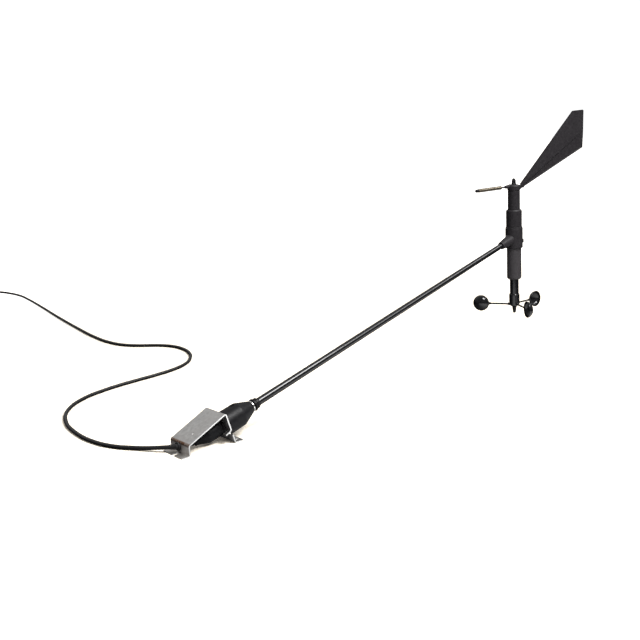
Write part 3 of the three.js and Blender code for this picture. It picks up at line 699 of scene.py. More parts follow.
def mast_cable():
    """One curve: the run along the ground, the coil, and the tail to the plug."""
    turns = coil_turns(first_angle=rad(32))
    plug_start = on_coil(COIL_MIDDLE, PLUG_ANGLE, PLUG_HEIGHT)
    heading = Vector((-math.sin(PLUG_ANGLE), math.cos(PLUG_ANGLE), 0))
    lift = COIL_TOP + CABLE_RADIUS + 0.4
    tail = [
        on_coil(COIL_MIDDLE - 12, PLUG_ANGLE - 1.0, lift),
        on_coil(COIL_MIDDLE - 9, PLUG_ANGLE - 0.75, lift + 0.4),
        on_coil(COIL_MIDDLE - 5, PLUG_ANGLE - 0.45, lift + 2.4),
        on_coil(COIL_MIDDLE - 1, PLUG_ANGLE - 0.22, PLUG_HEIGHT - 0.3),
        plug_start - heading * 6 * MM,
        plug_start + heading * 3 * MM,
    ]
    points = [Vector(point) for point in ROUTE] + turns + tail
    curve = bpy.data.curves.new("mast_cable", "CURVE")
    curve.dimensions = "3D"
    curve.bevel_depth = CABLE_RADIUS * MM
    curve.bevel_resolution = 3
    curve.resolution_u = 5
    curve.use_fill_caps = True
    spline = curve.splines.new("BEZIER")
    spline.bezier_points.add(len(points) - 1)
    for place, knot in zip(points, spline.bezier_points):
        knot.co = place
        knot.handle_left_type = "AUTO"
        knot.handle_right_type = "AUTO"
    curve.materials.append(MATERIALS["cable_jacket"])
    cable = bpy.data.objects.new("mast_cable", curve)
    bpy.context.scene.collection.objects.link(cable)
    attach(cable, "mount")
    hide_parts("mast_cable_run", "mast_cable_coil", "mast_cable_tail")
    return cable


def plug_frame():
    """The plug lies on the coil, its +Z along the turns."""
    heading = Vector((-math.sin(PLUG_ANGLE), math.cos(PLUG_ANGLE), 0))
    up = Vector((0, 0, 1))
    return axes(up.cross(heading), up, heading, on_coil(COIL_MIDDLE, PLUG_ANGLE, PLUG_HEIGHT))


def instrument_plug():
    """A moulded plug: a ribbed tail, a fluted grip and a hollow nose with its contacts."""
    nose = 46
    tail = []
    for i in range(3):
        tail += [(5 + 0.4 * i, 1 + 3.4 * i, 0.3), (5.2 + 0.4 * i, 3.2 + 3.4 * i, 0.3)]
        tail += [(4.7 + 0.4 * i, 3.3 + 3.4 * i), (4.8 + 0.4 * i, 4.3 + 3.4 * i)]
    corners = [
        (0, 4),
        (3.8, 4),
        (3.8, 0, 0.2),
        (4.9, 0, 0.3),
        *tail,
        (6.2, 12, 0.4),
        (PLUG_RADIUS, 14, 0.8),
        (PLUG_RADIUS, 34, 0.8),
        (6.4, 35, 0.2),
        (6.4, nose, 0.4),
        (5.2, nose, 0.3),
        (5.2, 37),
        (0, 37),
    ]
    profile = filleted(corners, 3, closed=False)
    grip = flutes(18, 0.7, 14.9, 33.1)
    # Points along the grip let its flutes run their length.
    profile = densified(profile, PLUG_RADIUS, 15.2, 32.8, 6)
    return lathe(profile, 144, grip)


def densified(profile, radius, low, high, count):
    """Adds points along the straight stretch at this radius."""
    extra = [(radius, low + (high - low) * i / count) for i in range(count + 1)]
    at = next(
        i
        for i, (here, there) in enumerate(zip(profile, profile[1:]))
        if abs(here[0] - radius) < 1e-4 and abs(there[0] - radius) < 1e-4
        and there[1] - here[1] > high - low
    )
    return profile[: at + 1] + extra + profile[at + 1 :]


def plug_contacts():
    pins = [
        moved(rod(0.6, 36.5, 44, 0.3, 16), Matrix.Translation((r * math.cos(a), r * math.sin(a), 0)))
        for r, a in [(3.1, i * TURN / 5) for i in range(5)]
    ]
    return joined(pins)


TIE_WIDTH = 3.6
TIE_THICKNESS = 1.0


def cable_tie(angle):
    """A strap round the coil's section, with its ratchet head on the outside."""
    half = COIL_COLUMNS * TURN_PITCH / 2 + 0.2
    low, high = COIL_BASE - 0.2, COIL_TOP + 0.2
    inner = filleted([(-half, low, 4), (half, low, 4), (half, high, 4), (-half, high, 4)], steps=8)
    thick = TIE_THICKNESS
    outer = filleted(
        [
            (-half - thick, low - thick, 5),
            (half + thick, low - thick, 5),
            (half + thick, high + thick, 5),
            (-half - thick, high + thick, 5),
        ],
        steps=8,
    )
    shape = bmesh.new()
    loops = []
    for side in (-TIE_WIDTH / 2, TIE_WIDTH / 2):
        loops.append([shape.verts.new((x, side, z)) for x, z in inner])
        loops.append([shape.verts.new((x, side, z)) for x, z in outer])
    count = len(inner)
    for i in range(count):
        j = (i + 1) % count
        for first, second in ((0, 1), (1, 3), (3, 2), (2, 0)):
            shape.faces.new((loops[first][i], loops[first][j], loops[second][j], loops[second][i]))
    head_low = (low + high) / 2 - 3
    head = softened(block((half + 0.4, -2.8, head_low), (half + 5, 2.8, head_low + 6)), 0.5)
    tail = softened(block((half + 1.2, -1.7, head_low - 9), (half + 2.3, 1.7, head_low + 0.5)), 0.2)
    strap = joined([softened(shape, 0.2, angle=60), head, tail])
    place = Matrix.Translation(COIL_CENTRE * MM) @ Matrix.Rotation(angle, 4, "Z")
    return moved(strap, Matrix.Translation((COIL_MIDDLE, 0, 0))), place


def cable_pieces():
    cable = mast_cable()
    plug = piece("instrument_plug_body", instrument_plug(), plug_frame(), "instrument_plug")
    contacts = piece(
        "instrument_plug_contacts", plug_contacts(), plug_frame(), slot="gold_contact", body="mount"
    )
    for i, angle in enumerate((rad(250), rad(10))):
        strap, place = cable_tie(angle)
        piece(f"cable_tie_{i + 1}", strap, place, slot="satin_black", body="mount")


cable_pieces()

# ---- Bracket -------------------------------------------------------------------------

SHEET = 2
BRACKET_WIDTH = 55
FRONT_FOOT_AHEAD = 10.8
FRONT_FACE_BACK = 3.6
FRONT_HEIGHT = 56
TOP_RUN = 73
REAR_HEIGHT = 18.3
REAR_FOOT = 14.3
FOOT_HOLE_RADIUS = 3.2
FOOT_HOLE_X = 4
FOOT_HOLE_Y = 17.5
SLOT_END_BACK = 6.5
SOCKET_HOLE_RADIUS = 13
DRAIN_RADIUS = 2
DRAIN_ALONG = 23.5
DRAIN_Y = -7
TONGUE_INNER = 19
WINDOW_LOW = 15.9
WINDOW_HIGH = 24.2
GLAND_Y = 4
GLAND_Z = 10.5
GLAND_HOLE_RADIUS = 4.8
BEND_INSIDE = 1.4
EDGE = 0.22

face_up = Vector((FACE_UP.x, FACE_UP.z))
arm_way = Vector((ARM_AXIS.x, ARM_AXIS.z))
face_foot = Vector((-FRONT_FACE_BACK, 0))
top_front = face_foot + face_up * FRONT_HEIGHT
top_rear = Vector((top_front.x - TOP_RUN, REAR_HEIGHT))
top_line = (top_front - top_rear).normalized()
wall_rear = top_rear.x


def meet(p, d, q, e):
    """Where the line through p along d crosses the line through q along e."""
    across = d.x * e.y - d.y * e.x
    along = ((q.x - p.x) * e.y - (q.y - p.y) * e.x) / across
    return p + d * along


def on_face(up, ahead=0.0):
    """A place on the leaning front face, in X and Z."""
    return face_foot + face_up * up + arm_way * ahead


def bracket_outline():
    level = Vector((1, 0))
    plumb = Vector((0, 1))
    outside = BEND_INSIDE + SHEET
    under_top = top_rear + Vector((top_line.y, -top_line.x)) * SHEET
    face_back = face_foot - arm_way * SHEET
    wall_front = Vector((wall_rear + SHEET, 0))
    rear_edge = wall_rear - REAR_FOOT
    return filleted(
        [
            (FRONT_FOOT_AHEAD, 0),
            (FRONT_FOOT_AHEAD, SHEET),
            (*meet(Vector((0, SHEET)), level, face_foot, face_up), BEND_INSIDE),
            (*top_front, outside),
            (*top_rear, outside),
            (wall_rear, SHEET, BEND_INSIDE),
            (rear_edge, SHEET),
            (rear_edge, 0),
            (*wall_front, outside),
            (*meet(wall_front, plumb, under_top, top_line), BEND_INSIDE),
            (*meet(under_top, top_line, face_back, face_up), BEND_INSIDE),
            (*meet(face_back, face_up, Vector((0, 0)), level), outside),
        ],
        steps=7,
    )


def tongue_outline():
    """A strip that follows the face down, bends back and ends in a rounded tip."""
    bend = 4.2
    start = on_face(29.9, -SHEET)
    corner = on_face(24.5, -SHEET)
    back = Vector((-0.89, -0.456))
    tip = corner + back * 11.6
    normal = Vector((0.456, -0.89)) * SHEET
    outer_start = start + arm_way * SHEET
    outer_tip = tip + normal
    outer_corner = meet(outer_start, -face_up, outer_tip, -back)
    rounded = SHEET / 2 - 0.05
    return filleted(
        [
            tuple(outer_start),
            tuple(start),
            (*corner, bend),
            (*tip, rounded),
            (*outer_tip, rounded),
            (*outer_corner, bend + SHEET),
        ],
        steps=7,
    )


def bracket_holes():
    """Cutters for the socket, the gland, the drain, the screws and the tongues' windows."""
    half = BRACKET_WIDTH / 2
    face_place = axes(ACROSS.cross(ARM_AXIS), ACROSS, ARM_AXIS, SOCKET / MM)
    holes = [moved(rod(SOCKET_HOLE_RADIUS, -12, 12, segments=72), face_place)]
    gland_start = (wall_rear - 6, GLAND_Y, GLAND_Z)
    gland_end = (wall_rear + 6, GLAND_Y, GLAND_Z)
    holes.append(between(rod(GLAND_HOLE_RADIUS, 0, 12), gland_start, gland_end))
    drain = top_rear + top_line * DRAIN_ALONG
    normal = Vector((-top_line.y, top_line.x))
    low, high = drain - normal * 6, drain + normal * 6
    drain_bore = rod(DRAIN_RADIUS, 0, 12, segments=32)
    holes.append(between(drain_bore, (low.x, DRAIN_Y, low.y), (high.x, DRAIN_Y, high.y)))
    for side in (-1, 1):
        foot_hole = rod(FOOT_HOLE_RADIUS, -5, 5)
        holes.append(moved(foot_hole, Matrix.Translation((FOOT_HOLE_X, side * FOOT_HOLE_Y, 0))))
    slot_start = wall_rear - REAR_FOOT - 5
    slot_outline = [
        (slot_start, -FOOT_HOLE_RADIUS),
        *arc(FOOT_HOLE_RADIUS, -math.pi / 2, math.pi / 2, 24, (wall_rear - SLOT_END_BACK, 0)),
        (slot_start, FOOT_HOLE_RADIUS),
    ]
    flat = Matrix.Translation((0, -SHEET, 0)) @ Matrix.Rotation(math.pi / 2, 4, "X")
    holes.append(moved(slab(slot_outline, -5, 5), flat))
    corners = ((WINDOW_LOW, -6), (WINDOW_LOW, 6), (WINDOW_HIGH, 6), (WINDOW_HIGH, -6))
    window = [tuple(on_face(up, ahead)) for up, ahead in corners]
    holes.append(slab(window, TONGUE_INNER, half + 5))
    holes.append(slab(window, -half - 5, -TONGUE_INNER))
    return holes


def bracket():
    half = BRACKET_WIDTH / 2
    cut = combined(slab(bracket_outline(), -half, half), bracket_holes(), "DIFFERENCE")
    spans = ((TONGUE_INNER, half), (-half, -TONGUE_INNER))
    tongues = [slab(tongue_outline(), *span) for span in spans]
    return softened(combined(cut, tongues, "UNION"), EDGE)


piece("bracket_sheet", bracket(), WORLD, "bracket")

# ---- Socket in the bracket -----------------------------------------------------------


def socket_body():
    thread = ridges(15.9, 0.55, 5, 17, 6)
    corners = [
        (8, -28, 0.2),
        (12.4, -28, 0.3),
        (12.4, 1.9),
        (15.9, 1.9, 0.3),
        *thread,
        (15.9, 21, 0.3),
        (14.9, 22, 0.3),
        (10.2, 22, 0.4),
        (10.2, -26.3),
        (8, -26.3),
    ]
    keyway = block((8, -1.5, 8), (12, 1.5, 30))
    return combined(turned(corners, 3), [keyway], "DIFFERENCE")


def panel_nut():
    across_flats, bore = 28, 12.75
    low, high = -6.8, -2.3
    corner = across_flats / math.sqrt(3)
    hexagon = [(corner * math.cos(i * TURN / 6), corner * math.sin(i * TURN / 6)) for i in range(6)]
    blank = moved(slab(hexagon, low, high), Matrix.Rotation(math.pi / 2, 4, "X"))
    face_radius = across_flats / 2 - 0.2
    chamfered = [
        (bore, low),
        (face_radius, low),
        (corner, low + 1.2),
        (corner, high - 1.2),
        (face_radius, high),
        (bore, high),
    ]
    return combined(blank, [lathe(chamfered, 96)], "INTERSECT")


def socket_tail():
    corners = [
        (4, -57, 0.3),
        (5.5, -57, 0.5),
        (5.7, -55.6),
        (5.3, -55.4),
        (5.4, -54.6),
        (5.95, -54.4),
        (6.4, -52, 2),
        (14, -34, 3),
        (14, -7.1, 0.5),
        (12.7, -7.1),
        (12.7, -30, 1),
        (4, -46),
    ]
    return turned(corners)


piece("socket_body", socket_body(), ARM_FRAME, "socket_shell")
piece("face_gasket", ring(12.8, 15.8, 0.3, 1.6, 0.35), ARM_FRAME, "socket_gasket")
piece("panel_nut", panel_nut(), ARM_FRAME, "socket_panel_nut", sharp=30)
piece("socket_tail", socket_tail(), ARM_FRAME, "socket_tail_cover")

# ---- Cable's way out of the bracket --------------------------------------------------


def grommet():
    """A moulded grommet in the rear wall, with a grooved snout that turns the cable aside."""
    inner_face = Vector((wall_rear + SHEET + 1.9, GLAND_Y, GLAND_Z))
    outer_face = Vector((wall_rear - 2.8, GLAND_Y, GLAND_Z))
    flange_corners = [
        (0, 0),
        (5.8, 0, 0.5),
        (5.8, 1.5, 0.5),
        (GLAND_HOLE_RADIUS - 0.3, 1.5),
        (GLAND_HOLE_RADIUS - 0.3, 4.25),
        (7.2, 4.25, 0.3),
        (7.2, 6.7, 0.9),
        (0, 6.7),
    ]
    flanges = between(turned(flange_corners, 4, 64, closed=False), inner_face, outer_face)
    start = Vector((wall_rear - 1.6, GLAND_Y + 0.5, GLAND_Z))
    length = (SNOUT_END - start).length
    snout_corners = [
        (0, 0),
        (4.9, 0),
        (4.6, length - 6.5, 0.3),
        (4.1, length - 6, 0.3),
        (4.1, length - 4.8, 0.3),
        (4.4, length - 4.3, 0.3),
        (4.3, length - 3, 0.3),
        (3.9, length - 2.5, 0.3),
        (3.9, length, 0.3),
        (0, length),
    ]
    snout = between(turned(snout_corners, 3, 48, closed=False), start, SNOUT_END)
    knuckle = bmesh.new()
    bmesh.ops.create_uvsphere(knuckle, u_segments=40, v_segments=24, radius=4.95)
    moved(knuckle, Matrix.Translation((wall_rear - 1.9, GLAND_Y + 0.45, GLAND_Z)))
    inside = block((wall_rear - 1.1, -40, -20), (wall_rear + 30, 40, 50))
    outside = combined(combined(snout, [knuckle], "UNION"), [inside], "DIFFERENCE")
    return combined(flanges, [outside], "UNION")


def bracket_lead():
    """The short lead inside the bracket, from the socket's tail to the grommet."""
    start = SOCKET / MM - ARM_AXIS * 58.8
    end = Vector((wall_rear + SHEET + 3, GLAND_Y - 0.1, GLAND_Z))
    points = [start.lerp(end, i / 10) - Vector((0, 0, 0.7 * math.sin(math.pi * i / 10))) for i in range(11)]
    return sweep(points, [CABLE_RADIUS - 0.02] * 11, 24)


piece("cable_grommet", grommet(), WORLD, "cable_strain_relief")
piece("bracket_lead", bracket_lead(), WORLD, "bracket_cable")

# ---- Plug and coupling hood at the foot of the arm -----------------------------------

SPAR_RADIUS = 6.35
SPAR_SWELL = 6.8
SPAR_TIP = 5.6
SPAR_BORE = 4.4
SPAR_FIT = SPAR_RADIUS + 0.05
HOOD_RADIUS = 20.6
HOOD_LIP_RADIUS = 21.8
HOOD_BORE = 16.3
HOOD_END = 61.2


def plug_body():
    corners = [
        (8.2, -12, 0.3),
        (9.8, -12, 0.5),
        (9.8, 21.5),
        (10.3, 22.6, 0.2),
        (10.3, 24.6, 0.2),
        (9.8, 25.2),
        (15.5, 25.2, 0.4),
        (15.5, 29.5, 0.4),
        (9.6, 29.5, 0.4),
        (9.6, 46, 0.6),
        (SPAR_FIT, 46),
        (SPAR_FIT, 18),
        (8.2, 18),
    ]
    key = block((9, -1.3, -11), (10.1, 1.3, 14))
    return combined(turned(corners, 3), [key], "UNION")


def contact_pins():
    circle = 5
    for i in range(5):
        angle = i * TURN / 5
        place = ARM_FRAME @ Matrix.Translation(
            (circle * MM * math.cos(angle), circle * MM * math.sin(angle), 0)
        )
        corners = [(0, -20), (0.9, -20, 0.6), (0.9, 9, 0.2), (0, 9)]
        pin = turned(corners, segments=20, closed=False)
        piece(f"plug_pin_{i + 1}", pin, place, f"contact_pin_{i + 1}")


def o_ring():
    return lathe(arc(1.0, 0, TURN * 15 / 16, 15, (11.3, 23.6)), 72)


def coupling_hood():
    """The hood over the joint: a lip, a cylinder and a cone, threaded inside."""
    corners = [
        (HOOD_BORE, 0.8, 0.3),
        (HOOD_LIP_RADIUS, 0.8, 0.6),
        (HOOD_LIP_RADIUS, 3.4, 0.6),
        (HOOD_RADIUS + 0.5, 4.3, 0.5),
        (HOOD_RADIUS, 36, 2.5),
        (10.9, HOOD_END - 1.2, 0.9),
        (9.8, HOOD_END, 0.5),
        (7.6, HOOD_END, 0.3),
        (7.6, 55.7, 1),
        (12.5, 38.7, 1),
        (12.5, 30.2, 0.3),
        (HOOD_BORE, 30.2, 0.3),
        *reversed(ridges(HOOD_BORE, 0.3, 4, 18, 7)),
    ]
    body = turned(corners, 6, 128)
    outer, inner = -HOOD_RADIUS - 1.4, -HOOD_RADIUS + 1
    nub_outline = filleted([(outer, 26.4, 0.9), (outer, 32.6, 0.9), (inner, 33), (inner, 26)], 4)
    nub = softened(slab(nub_outline, -1.6, 1.6), 0.5)
    return combined(body, [nub], "UNION")


def base_collar():
    """The spar's foot collar: a thin flange, a neck and a ring."""
    corners = [
        (SPAR_FIT, 0),
        (8.6, 0, 0.2),
        (8.6, 1.7, 0.2),
        (10.9, 2, 0.4),
        (10.9, 4.2, 0.5),
        (8.7, 4.8, 0.3),
        (8.7, 6.8, 0.3),
        (9.3, 7.2, 0.4),
        (9.3, 10.6, 0.6),
        (7.4, 12.6, 0.5),
        (SPAR_FIT, 12.6),
    ]
    collar = turned(corners, 4)
    return moved(collar, Matrix.Translation((0, 0, HOOD_END + 3.3)))


def spar():
    """The arm's tube: its foot is turned down, and from there it tapers to the head."""
    start, end = 20, ARM_LENGTH - 17
    corners = [
        (SPAR_BORE, start, 0.2),
        (SPAR_RADIUS, start, 0.3),
        (SPAR_RADIUS, HOOD_END + 16.1),
        (SPAR_SWELL, HOOD_END + 16.6, 0.2),
        (SPAR_TIP, end - 30),
        (SPAR_TIP, end, 0.3),
        (SPAR_BORE, end, 0.2),
    ]
    return turned(corners, 3)


piece("plug_body", plug_body(), ARM_FRAME, "plug_shell")
contact_pins()
piece("plug_seal", o_ring(), ARM_FRAME, "plug_o_ring")
piece("coupling_hood", coupling_hood(), ARM_FRAME, "coupling_ring", sharp=32)
piece("spar", spar(), ARM_FRAME, "spar_tube")
retaining_ring = ring(SPAR_FIT, 9.8, HOOD_END + 0.5, HOOD_END + 2.9, 0.5)
piece("retaining_ring", retaining_ring, ARM_FRAME, "coupling_retaining_ring")
piece("base_collar", base_collar(), ARM_FRAME, "spar_base_collar")

# ---- Head body -----------------------------------------------------------------------

COLLAR_RADIUS = 18.25
COLLAR_TOP = 23.1
COLLAR_BOTTOM = -21.5
HOUSING_BORE = 13.3
UPPER_TOP = 99.1
GRUB_AZIMUTH = rad(-52)
GRUB_HEIGHT = -7


def grub_place(radius):
    """A place on the grub screw's line, this far from the head's axis."""
    return Vector((radius * math.cos(GRUB_AZIMUTH), radius * math.sin(GRUB_AZIMUTH), GRUB_HEIGHT))


def collar_body():
    """The collar, the conical boss for the arm's end and a small boss for its screw."""
    shell_corners = [
        (HOUSING_BORE, COLLAR_BOTTOM, 0.3),
        (COLLAR_RADIUS, COLLAR_BOTTOM, 1),
        (COLLAR_RADIUS, COLLAR_TOP - 3.2, 0.2),
        (COLLAR_RADIUS - 0.35, COLLAR_TOP - 2.9, 0.2),
        (COLLAR_RADIUS - 0.35, COLLAR_TOP, 1.1),
        (HOUSING_BORE, COLLAR_TOP, 0.3),
    ]
    shell = turned(shell_corners, 4, 128)
    boss_corners = [(0, -46), (7.9, -46, 0.8), (8.1, -44.5), (12.4, -12), (0, -12)]
    boss = moved(turned(boss_corners, closed=False), BOSS_FRAME)
    core = rod(HOUSING_BORE, -40, 40, segments=128)
    boss = combined(boss, [core], "DIFFERENCE")
    stub_corners = [(0, 0), (4.6, 0), (3.9, 5.8), (3.5, 6.2), (0, 6.2)]
    stub = between(lathe(stub_corners, 48), grub_place(14), grub_place(20))
    core = rod(HOUSING_BORE + 1, -40, 40, segments=128)
    stub = combined(stub, [core], "DIFFERENCE")
    whole = combined(shell, [boss, stub], "UNION")
    bores = [
        moved(rod(SPAR_TIP + 0.05, -60, -10, segments=64), BOSS_FRAME),
        between(rod(2.0, 0, 20, segments=32), grub_place(10), grub_place(30)),
    ]
    whole = combined(whole, bores, "DIFFERENCE")
    return softened(whole, 0.5, segments=3, angle=24)


def grub_screw():
    shank = rod(1.85, 0, 5.6, 0.3, 32)
    socket = [(math.cos(i * TURN / 6), math.sin(i * TURN / 6)) for i in range(6)]
    drive = moved(slab(socket, 4, 8), Matrix.Rotation(math.pi / 2, 4, "X"))
    return between(combined(shank, [drive], "DIFFERENCE"), grub_place(13.9), grub_place(20))


def upper_tube():
    corners = [
        (3.2, UPPER_TOP, 0.2),
        (12.6, UPPER_TOP, 0.9),
        (13, 7),
        (10.5, 7),
        (10.5, UPPER_TOP - 4.1),
        (3.2, UPPER_TOP - 4.1),
    ]
    return turned(corners)


def sleeve():
    corners = [
        (13.05, 23.4),
        (16.5, 23.4, 0.4),
        (16.5, 56.7, 0.9),
        (14.6, 59.6, 0.7),
        (13.05, 59.6),
    ]
    return turned(corners)


def lower_body():
    corners = [
        (9.6, -88.7, 0.3),
        (12.5, -88.7, 0.6),
        (15.25, -85.7, 1.2),
        (15.25, -21.8, 0.4),
        (13, -21.8),
        (13, -12.5),
        (11, -12.5),
        (11, -84),
        (9.6, -84),
    ]
    return turned(corners)


def lower_stem():
    bottom = -122.3
    corners = [
        (6.8, bottom, 0.3),
        (9.25, bottom, 0.8),
        (9.25, -83.7),
        (10.7, -83.7),
        (10.7, -80.5),
        (9.25, -80.5),
        (9.25, -60),
        (6.8, -60),
    ]
    return turned(corners)


piece("collar_body", collar_body(), HEAD_FRAME, "head_collar", sharp=30)
piece("grub_screw", grub_screw(), HEAD_FRAME, "collar_grub_screw")
piece("upper_tube", upper_tube(), HEAD_FRAME, "upper_housing")
piece("sleeve", sleeve(), HEAD_FRAME, "upper_sleeve")
piece("lower_body", lower_body(), HEAD_FRAME, "lower_housing")
piece("lower_stem", lower_stem(), HEAD_FRAME, "lower_tube")

# ---- Vane ----------------------------------------------------------------------------

VANE_HUB_RADIUS = 13.2
BLADE_EDGE_HALF = 0.8
BLADE_RIDGE_HALF = 1.6


def line_out(distance):
    """A place on the counterweight's line, in the vane's frame."""
    return Vector(
        (
            -distance * math.cos(COUNTERWEIGHT_DROOP),
            0,
            COUNTERWEIGHT_HEIGHT - distance * math.sin(COUNTERWEIGHT_DROOP),
        )
    )


def hub_body():
    corners = [
        (0, 99.7),
        (VANE_HUB_RADIUS, 99.7, 0.6),
        (VANE_HUB_RADIUS, 108.2, 1.2),
        (11.2, 110.9, 1.2),
        (8.5, 112, 0.8),
        (0, 112),
    ]
    hub = turned(corners, closed=False)
    boss_corners = [(0, 0), (5.2, 0), (2.9, 12.6, 0.6), (0, 12.8)]
    boss = between(turned(boss_corners, 4, 48, closed=False), line_out(8), line_out(21))
    cheek_outline = filleted(
        [(4, 101.4), (13.6, 101.4, 0.6), (16.6, 103, 0.8), (15, 110.4, 0.8), (4, 111)], steps=4
    )
    cheeks = slab(cheek_outline, -3.1, 3.1)
    whole = combined(hub, [boss, cheeks], "UNION")
    return softened(whole, 0.35, segments=2, angle=34)


def cap_knob():
    corners = [
        (0, 112.3),
        (5.3, 112.3, 0.4),
        (4.5, 115.2, 0.8),
        (4.4, 120, 0.8),
        (3, 123.6, 1.4),
        (0, 125.4),
    ]
    return turned(corners, closed=False, dip=flutes(8, 0.5, 113, 121))


def blade():
    """A thin plate that thickens to a ridge along its middle, with a raised rim."""
    ridge_start = Vector((16.4, 106.9))
    ridge_end = Vector((161.8, 216.2))
    ridge_way = (ridge_end - ridge_start).normalized()
    ridge_normal = Vector((-ridge_way.y, ridge_way.x))
    above = filleted(
        [tuple(ridge_end), (162.6, 259.0, 2.5), (136.3, 257.4, 2.5), (15.0, 113.0), tuple(ridge_start)],
        steps=4,
        closed=False,
    )
    below = filleted(
        [tuple(ridge_start), (17.5, 103.4), (161.2, 180.8, 3.5), tuple(ridge_end)],
        steps=4,
        closed=False,
    )
    reach = {
        1: max((Vector(p) - ridge_start).dot(ridge_normal) for p in above),
        -1: max(-(Vector(p) - ridge_start).dot(ridge_normal) for p in below),
    }

    def half_thickness(point):
        offset = (Vector(point) - ridge_start).dot(ridge_normal)
        share = abs(offset) / reach[1 if offset > 0 else -1]
        return BLADE_RIDGE_HALF + (BLADE_EDGE_HALF - BLADE_RIDGE_HALF) * min(1.0, share)

    shape = bmesh.new()
    rings = {}
    for side in (-1, 1):
        corner = {}
        for point in above + below:
            key = (round(point[0], 4), round(point[1], 4))
            if key not in corner:
                corner[key] = shape.verts.new((point[0], side * half_thickness(point), point[1]))
        loops = [
            [corner[(round(x, 4), round(z, 4))] for x, z in outline] for outline in (above, below)
        ]
        panels = [shape.faces.new(loop) for loop in loops]
        rings[side] = (loops, panels)
    for k in range(2):
        near, far = rings[-1][0][k], rings[1][0][k]
        for i in range(len(near) - 1):
            shape.faces.new((near[i], near[i + 1], far[i + 1], far[i]))
    bmesh.ops.recalc_face_normals(shape, faces=shape.faces)
    for side in (-1, 1):
        for thickness, depth in ((1.7, 0.0), (0.5, -0.3)):
            bmesh.ops.inset_region(
                shape, faces=rings[side][1], thickness=thickness, depth=depth,
                use_even_offset=True, use_boundary=True,
            )
    root = softened(slab([(5, 103), (24, 104.5), (24, 110.6), (5, 110.6)], -1.3, 1.3), 0.3)
    ribs = [blade_rib(side, ridge_start, ridge_end, ridge_normal) for side in (-1, 1)]
    return softened(combined(shape, [root, *ribs], "UNION"), 0.25, segments=2, angle=25)


def blade_rib(side, start, end, normal):
    """A rib of triangular section on the ridge that fades towards the blade's end."""
    shape = bmesh.new()
    sections = []
    for place, width, height in ((start, 3.4, 1.5), (start.lerp(end, 0.985), 1.0, 0.5)):
        points = []
        for across, out in ((-width, -1.4), (0, height), (width * 0.35, -1.4)):
            flat = place + normal * across
            points.append(shape.verts.new((flat.x, side * (BLADE_RIDGE_HALF + out), flat.y)))
        sections.append(points)
    first, last = sections
    shape.faces.new(first)
    shape.faces.new(list(reversed(last)))
    for i in range(3):
        j = (i + 1) % 3
        shape.faces.new((first[i], last[i], last[j], first[j]))
    bmesh.ops.recalc_face_normals(shape, faces=shape.faces)
    return shape


def weight_tube():
    corners = [
        (1.75, 29, 0.2),
        (3.85, 29, 0.45),
        (3.85, 81, 0.45),
        (1.75, 81, 0.2),
    ]
    return turned(corners, 3, 64)


def end_nut():
    corners = [
        (0, 81.3),
        (3.3, 81.3, 0.3),
        (3.3, 85.8, 0.6),
        (2.2, 87.9, 0.5),
        (0, 87.9),
    ]
    return turned(corners, 4, 72, closed=False, dip=flutes(12, 0.25, 81.8, 85.4))


piece("vane_hub_body", hub_body(), VANE_FRAME, "vane_hub", sharp=32)
piece("vane_cap_knob", cap_knob(), VANE_FRAME, "vane_cap_nut")
piece("vane_tail_blade", blade(), VANE_FRAME, "vane_blade", sharp=20)
piece("weight_spindle", rod(1.7, 9.5, 86.4, 0.3, 40), COUNTERWEIGHT_FRAME, "counterweight_spindle")
piece("weight_tube", weight_tube(), COUNTERWEIGHT_FRAME, "counterweight")
piece("weight_end_nut", end_nut(), COUNTERWEIGHT_FRAME, "counterweight_end_nut")

# ---- Cup rotor -----------------------------------------------------------------------

CUP_CIRCLE = 72
CUP_RADIUS = 16.8
CUP_DEPTH = 11.6
CUP_WALL = 1.2
CUP_ARM_RADIUS = 1.8
CUP_ARM_OFFSET = 2.6


def along_spoke(shape, start):
    """A piece made about +Z, laid out along the spoke from a radius."""
    return between(shape, (start, CUP_ARM_OFFSET, 0), (start + 1, CUP_ARM_OFFSET, 0))


def rotor_hub():
    corners = [
        (2.6, -6, 0.2),
        (5, -6, 0.8),
        (11, -2.2, 1.4),
        (11, 20.6, 1.0),
        (10.2, 22, 0.5),
        (9.8, 22),
        (9.8, 19.4),
        (2.6, 19.4),
    ]
    hub = turned(corners)
    socket_corners = [(0, 0), (3.5, 0), (2.9, 5.2, 0.6), (0, 5.2)]
    sockets = []
    for i in range(CUP_COUNT):
        socket = along_spoke(turned(socket_corners, 4, 40, closed=False), 8)
        sockets.append(
            moved(socket, Matrix.Rotation(CUP_AZIMUTH + i * TURN / CUP_COUNT, 4, "Z"))
        )
    return softened(combined(hub, sockets, "UNION"), 0.3, segments=2, angle=34)


def hub_tip():
    corners = [
        (0, -19.6),
        (2.5, -19.6, 0.7),
        (3.3, -18.0, 0.8),
        (4.75, -6.3, 0.3),
        (2.6, -6.3),
        (2.6, -17.4),
        (0, -17.4),
    ]
    return turned(corners, 4, 64, closed=False, dip=flutes(6, 0.45, -17.5, -8))


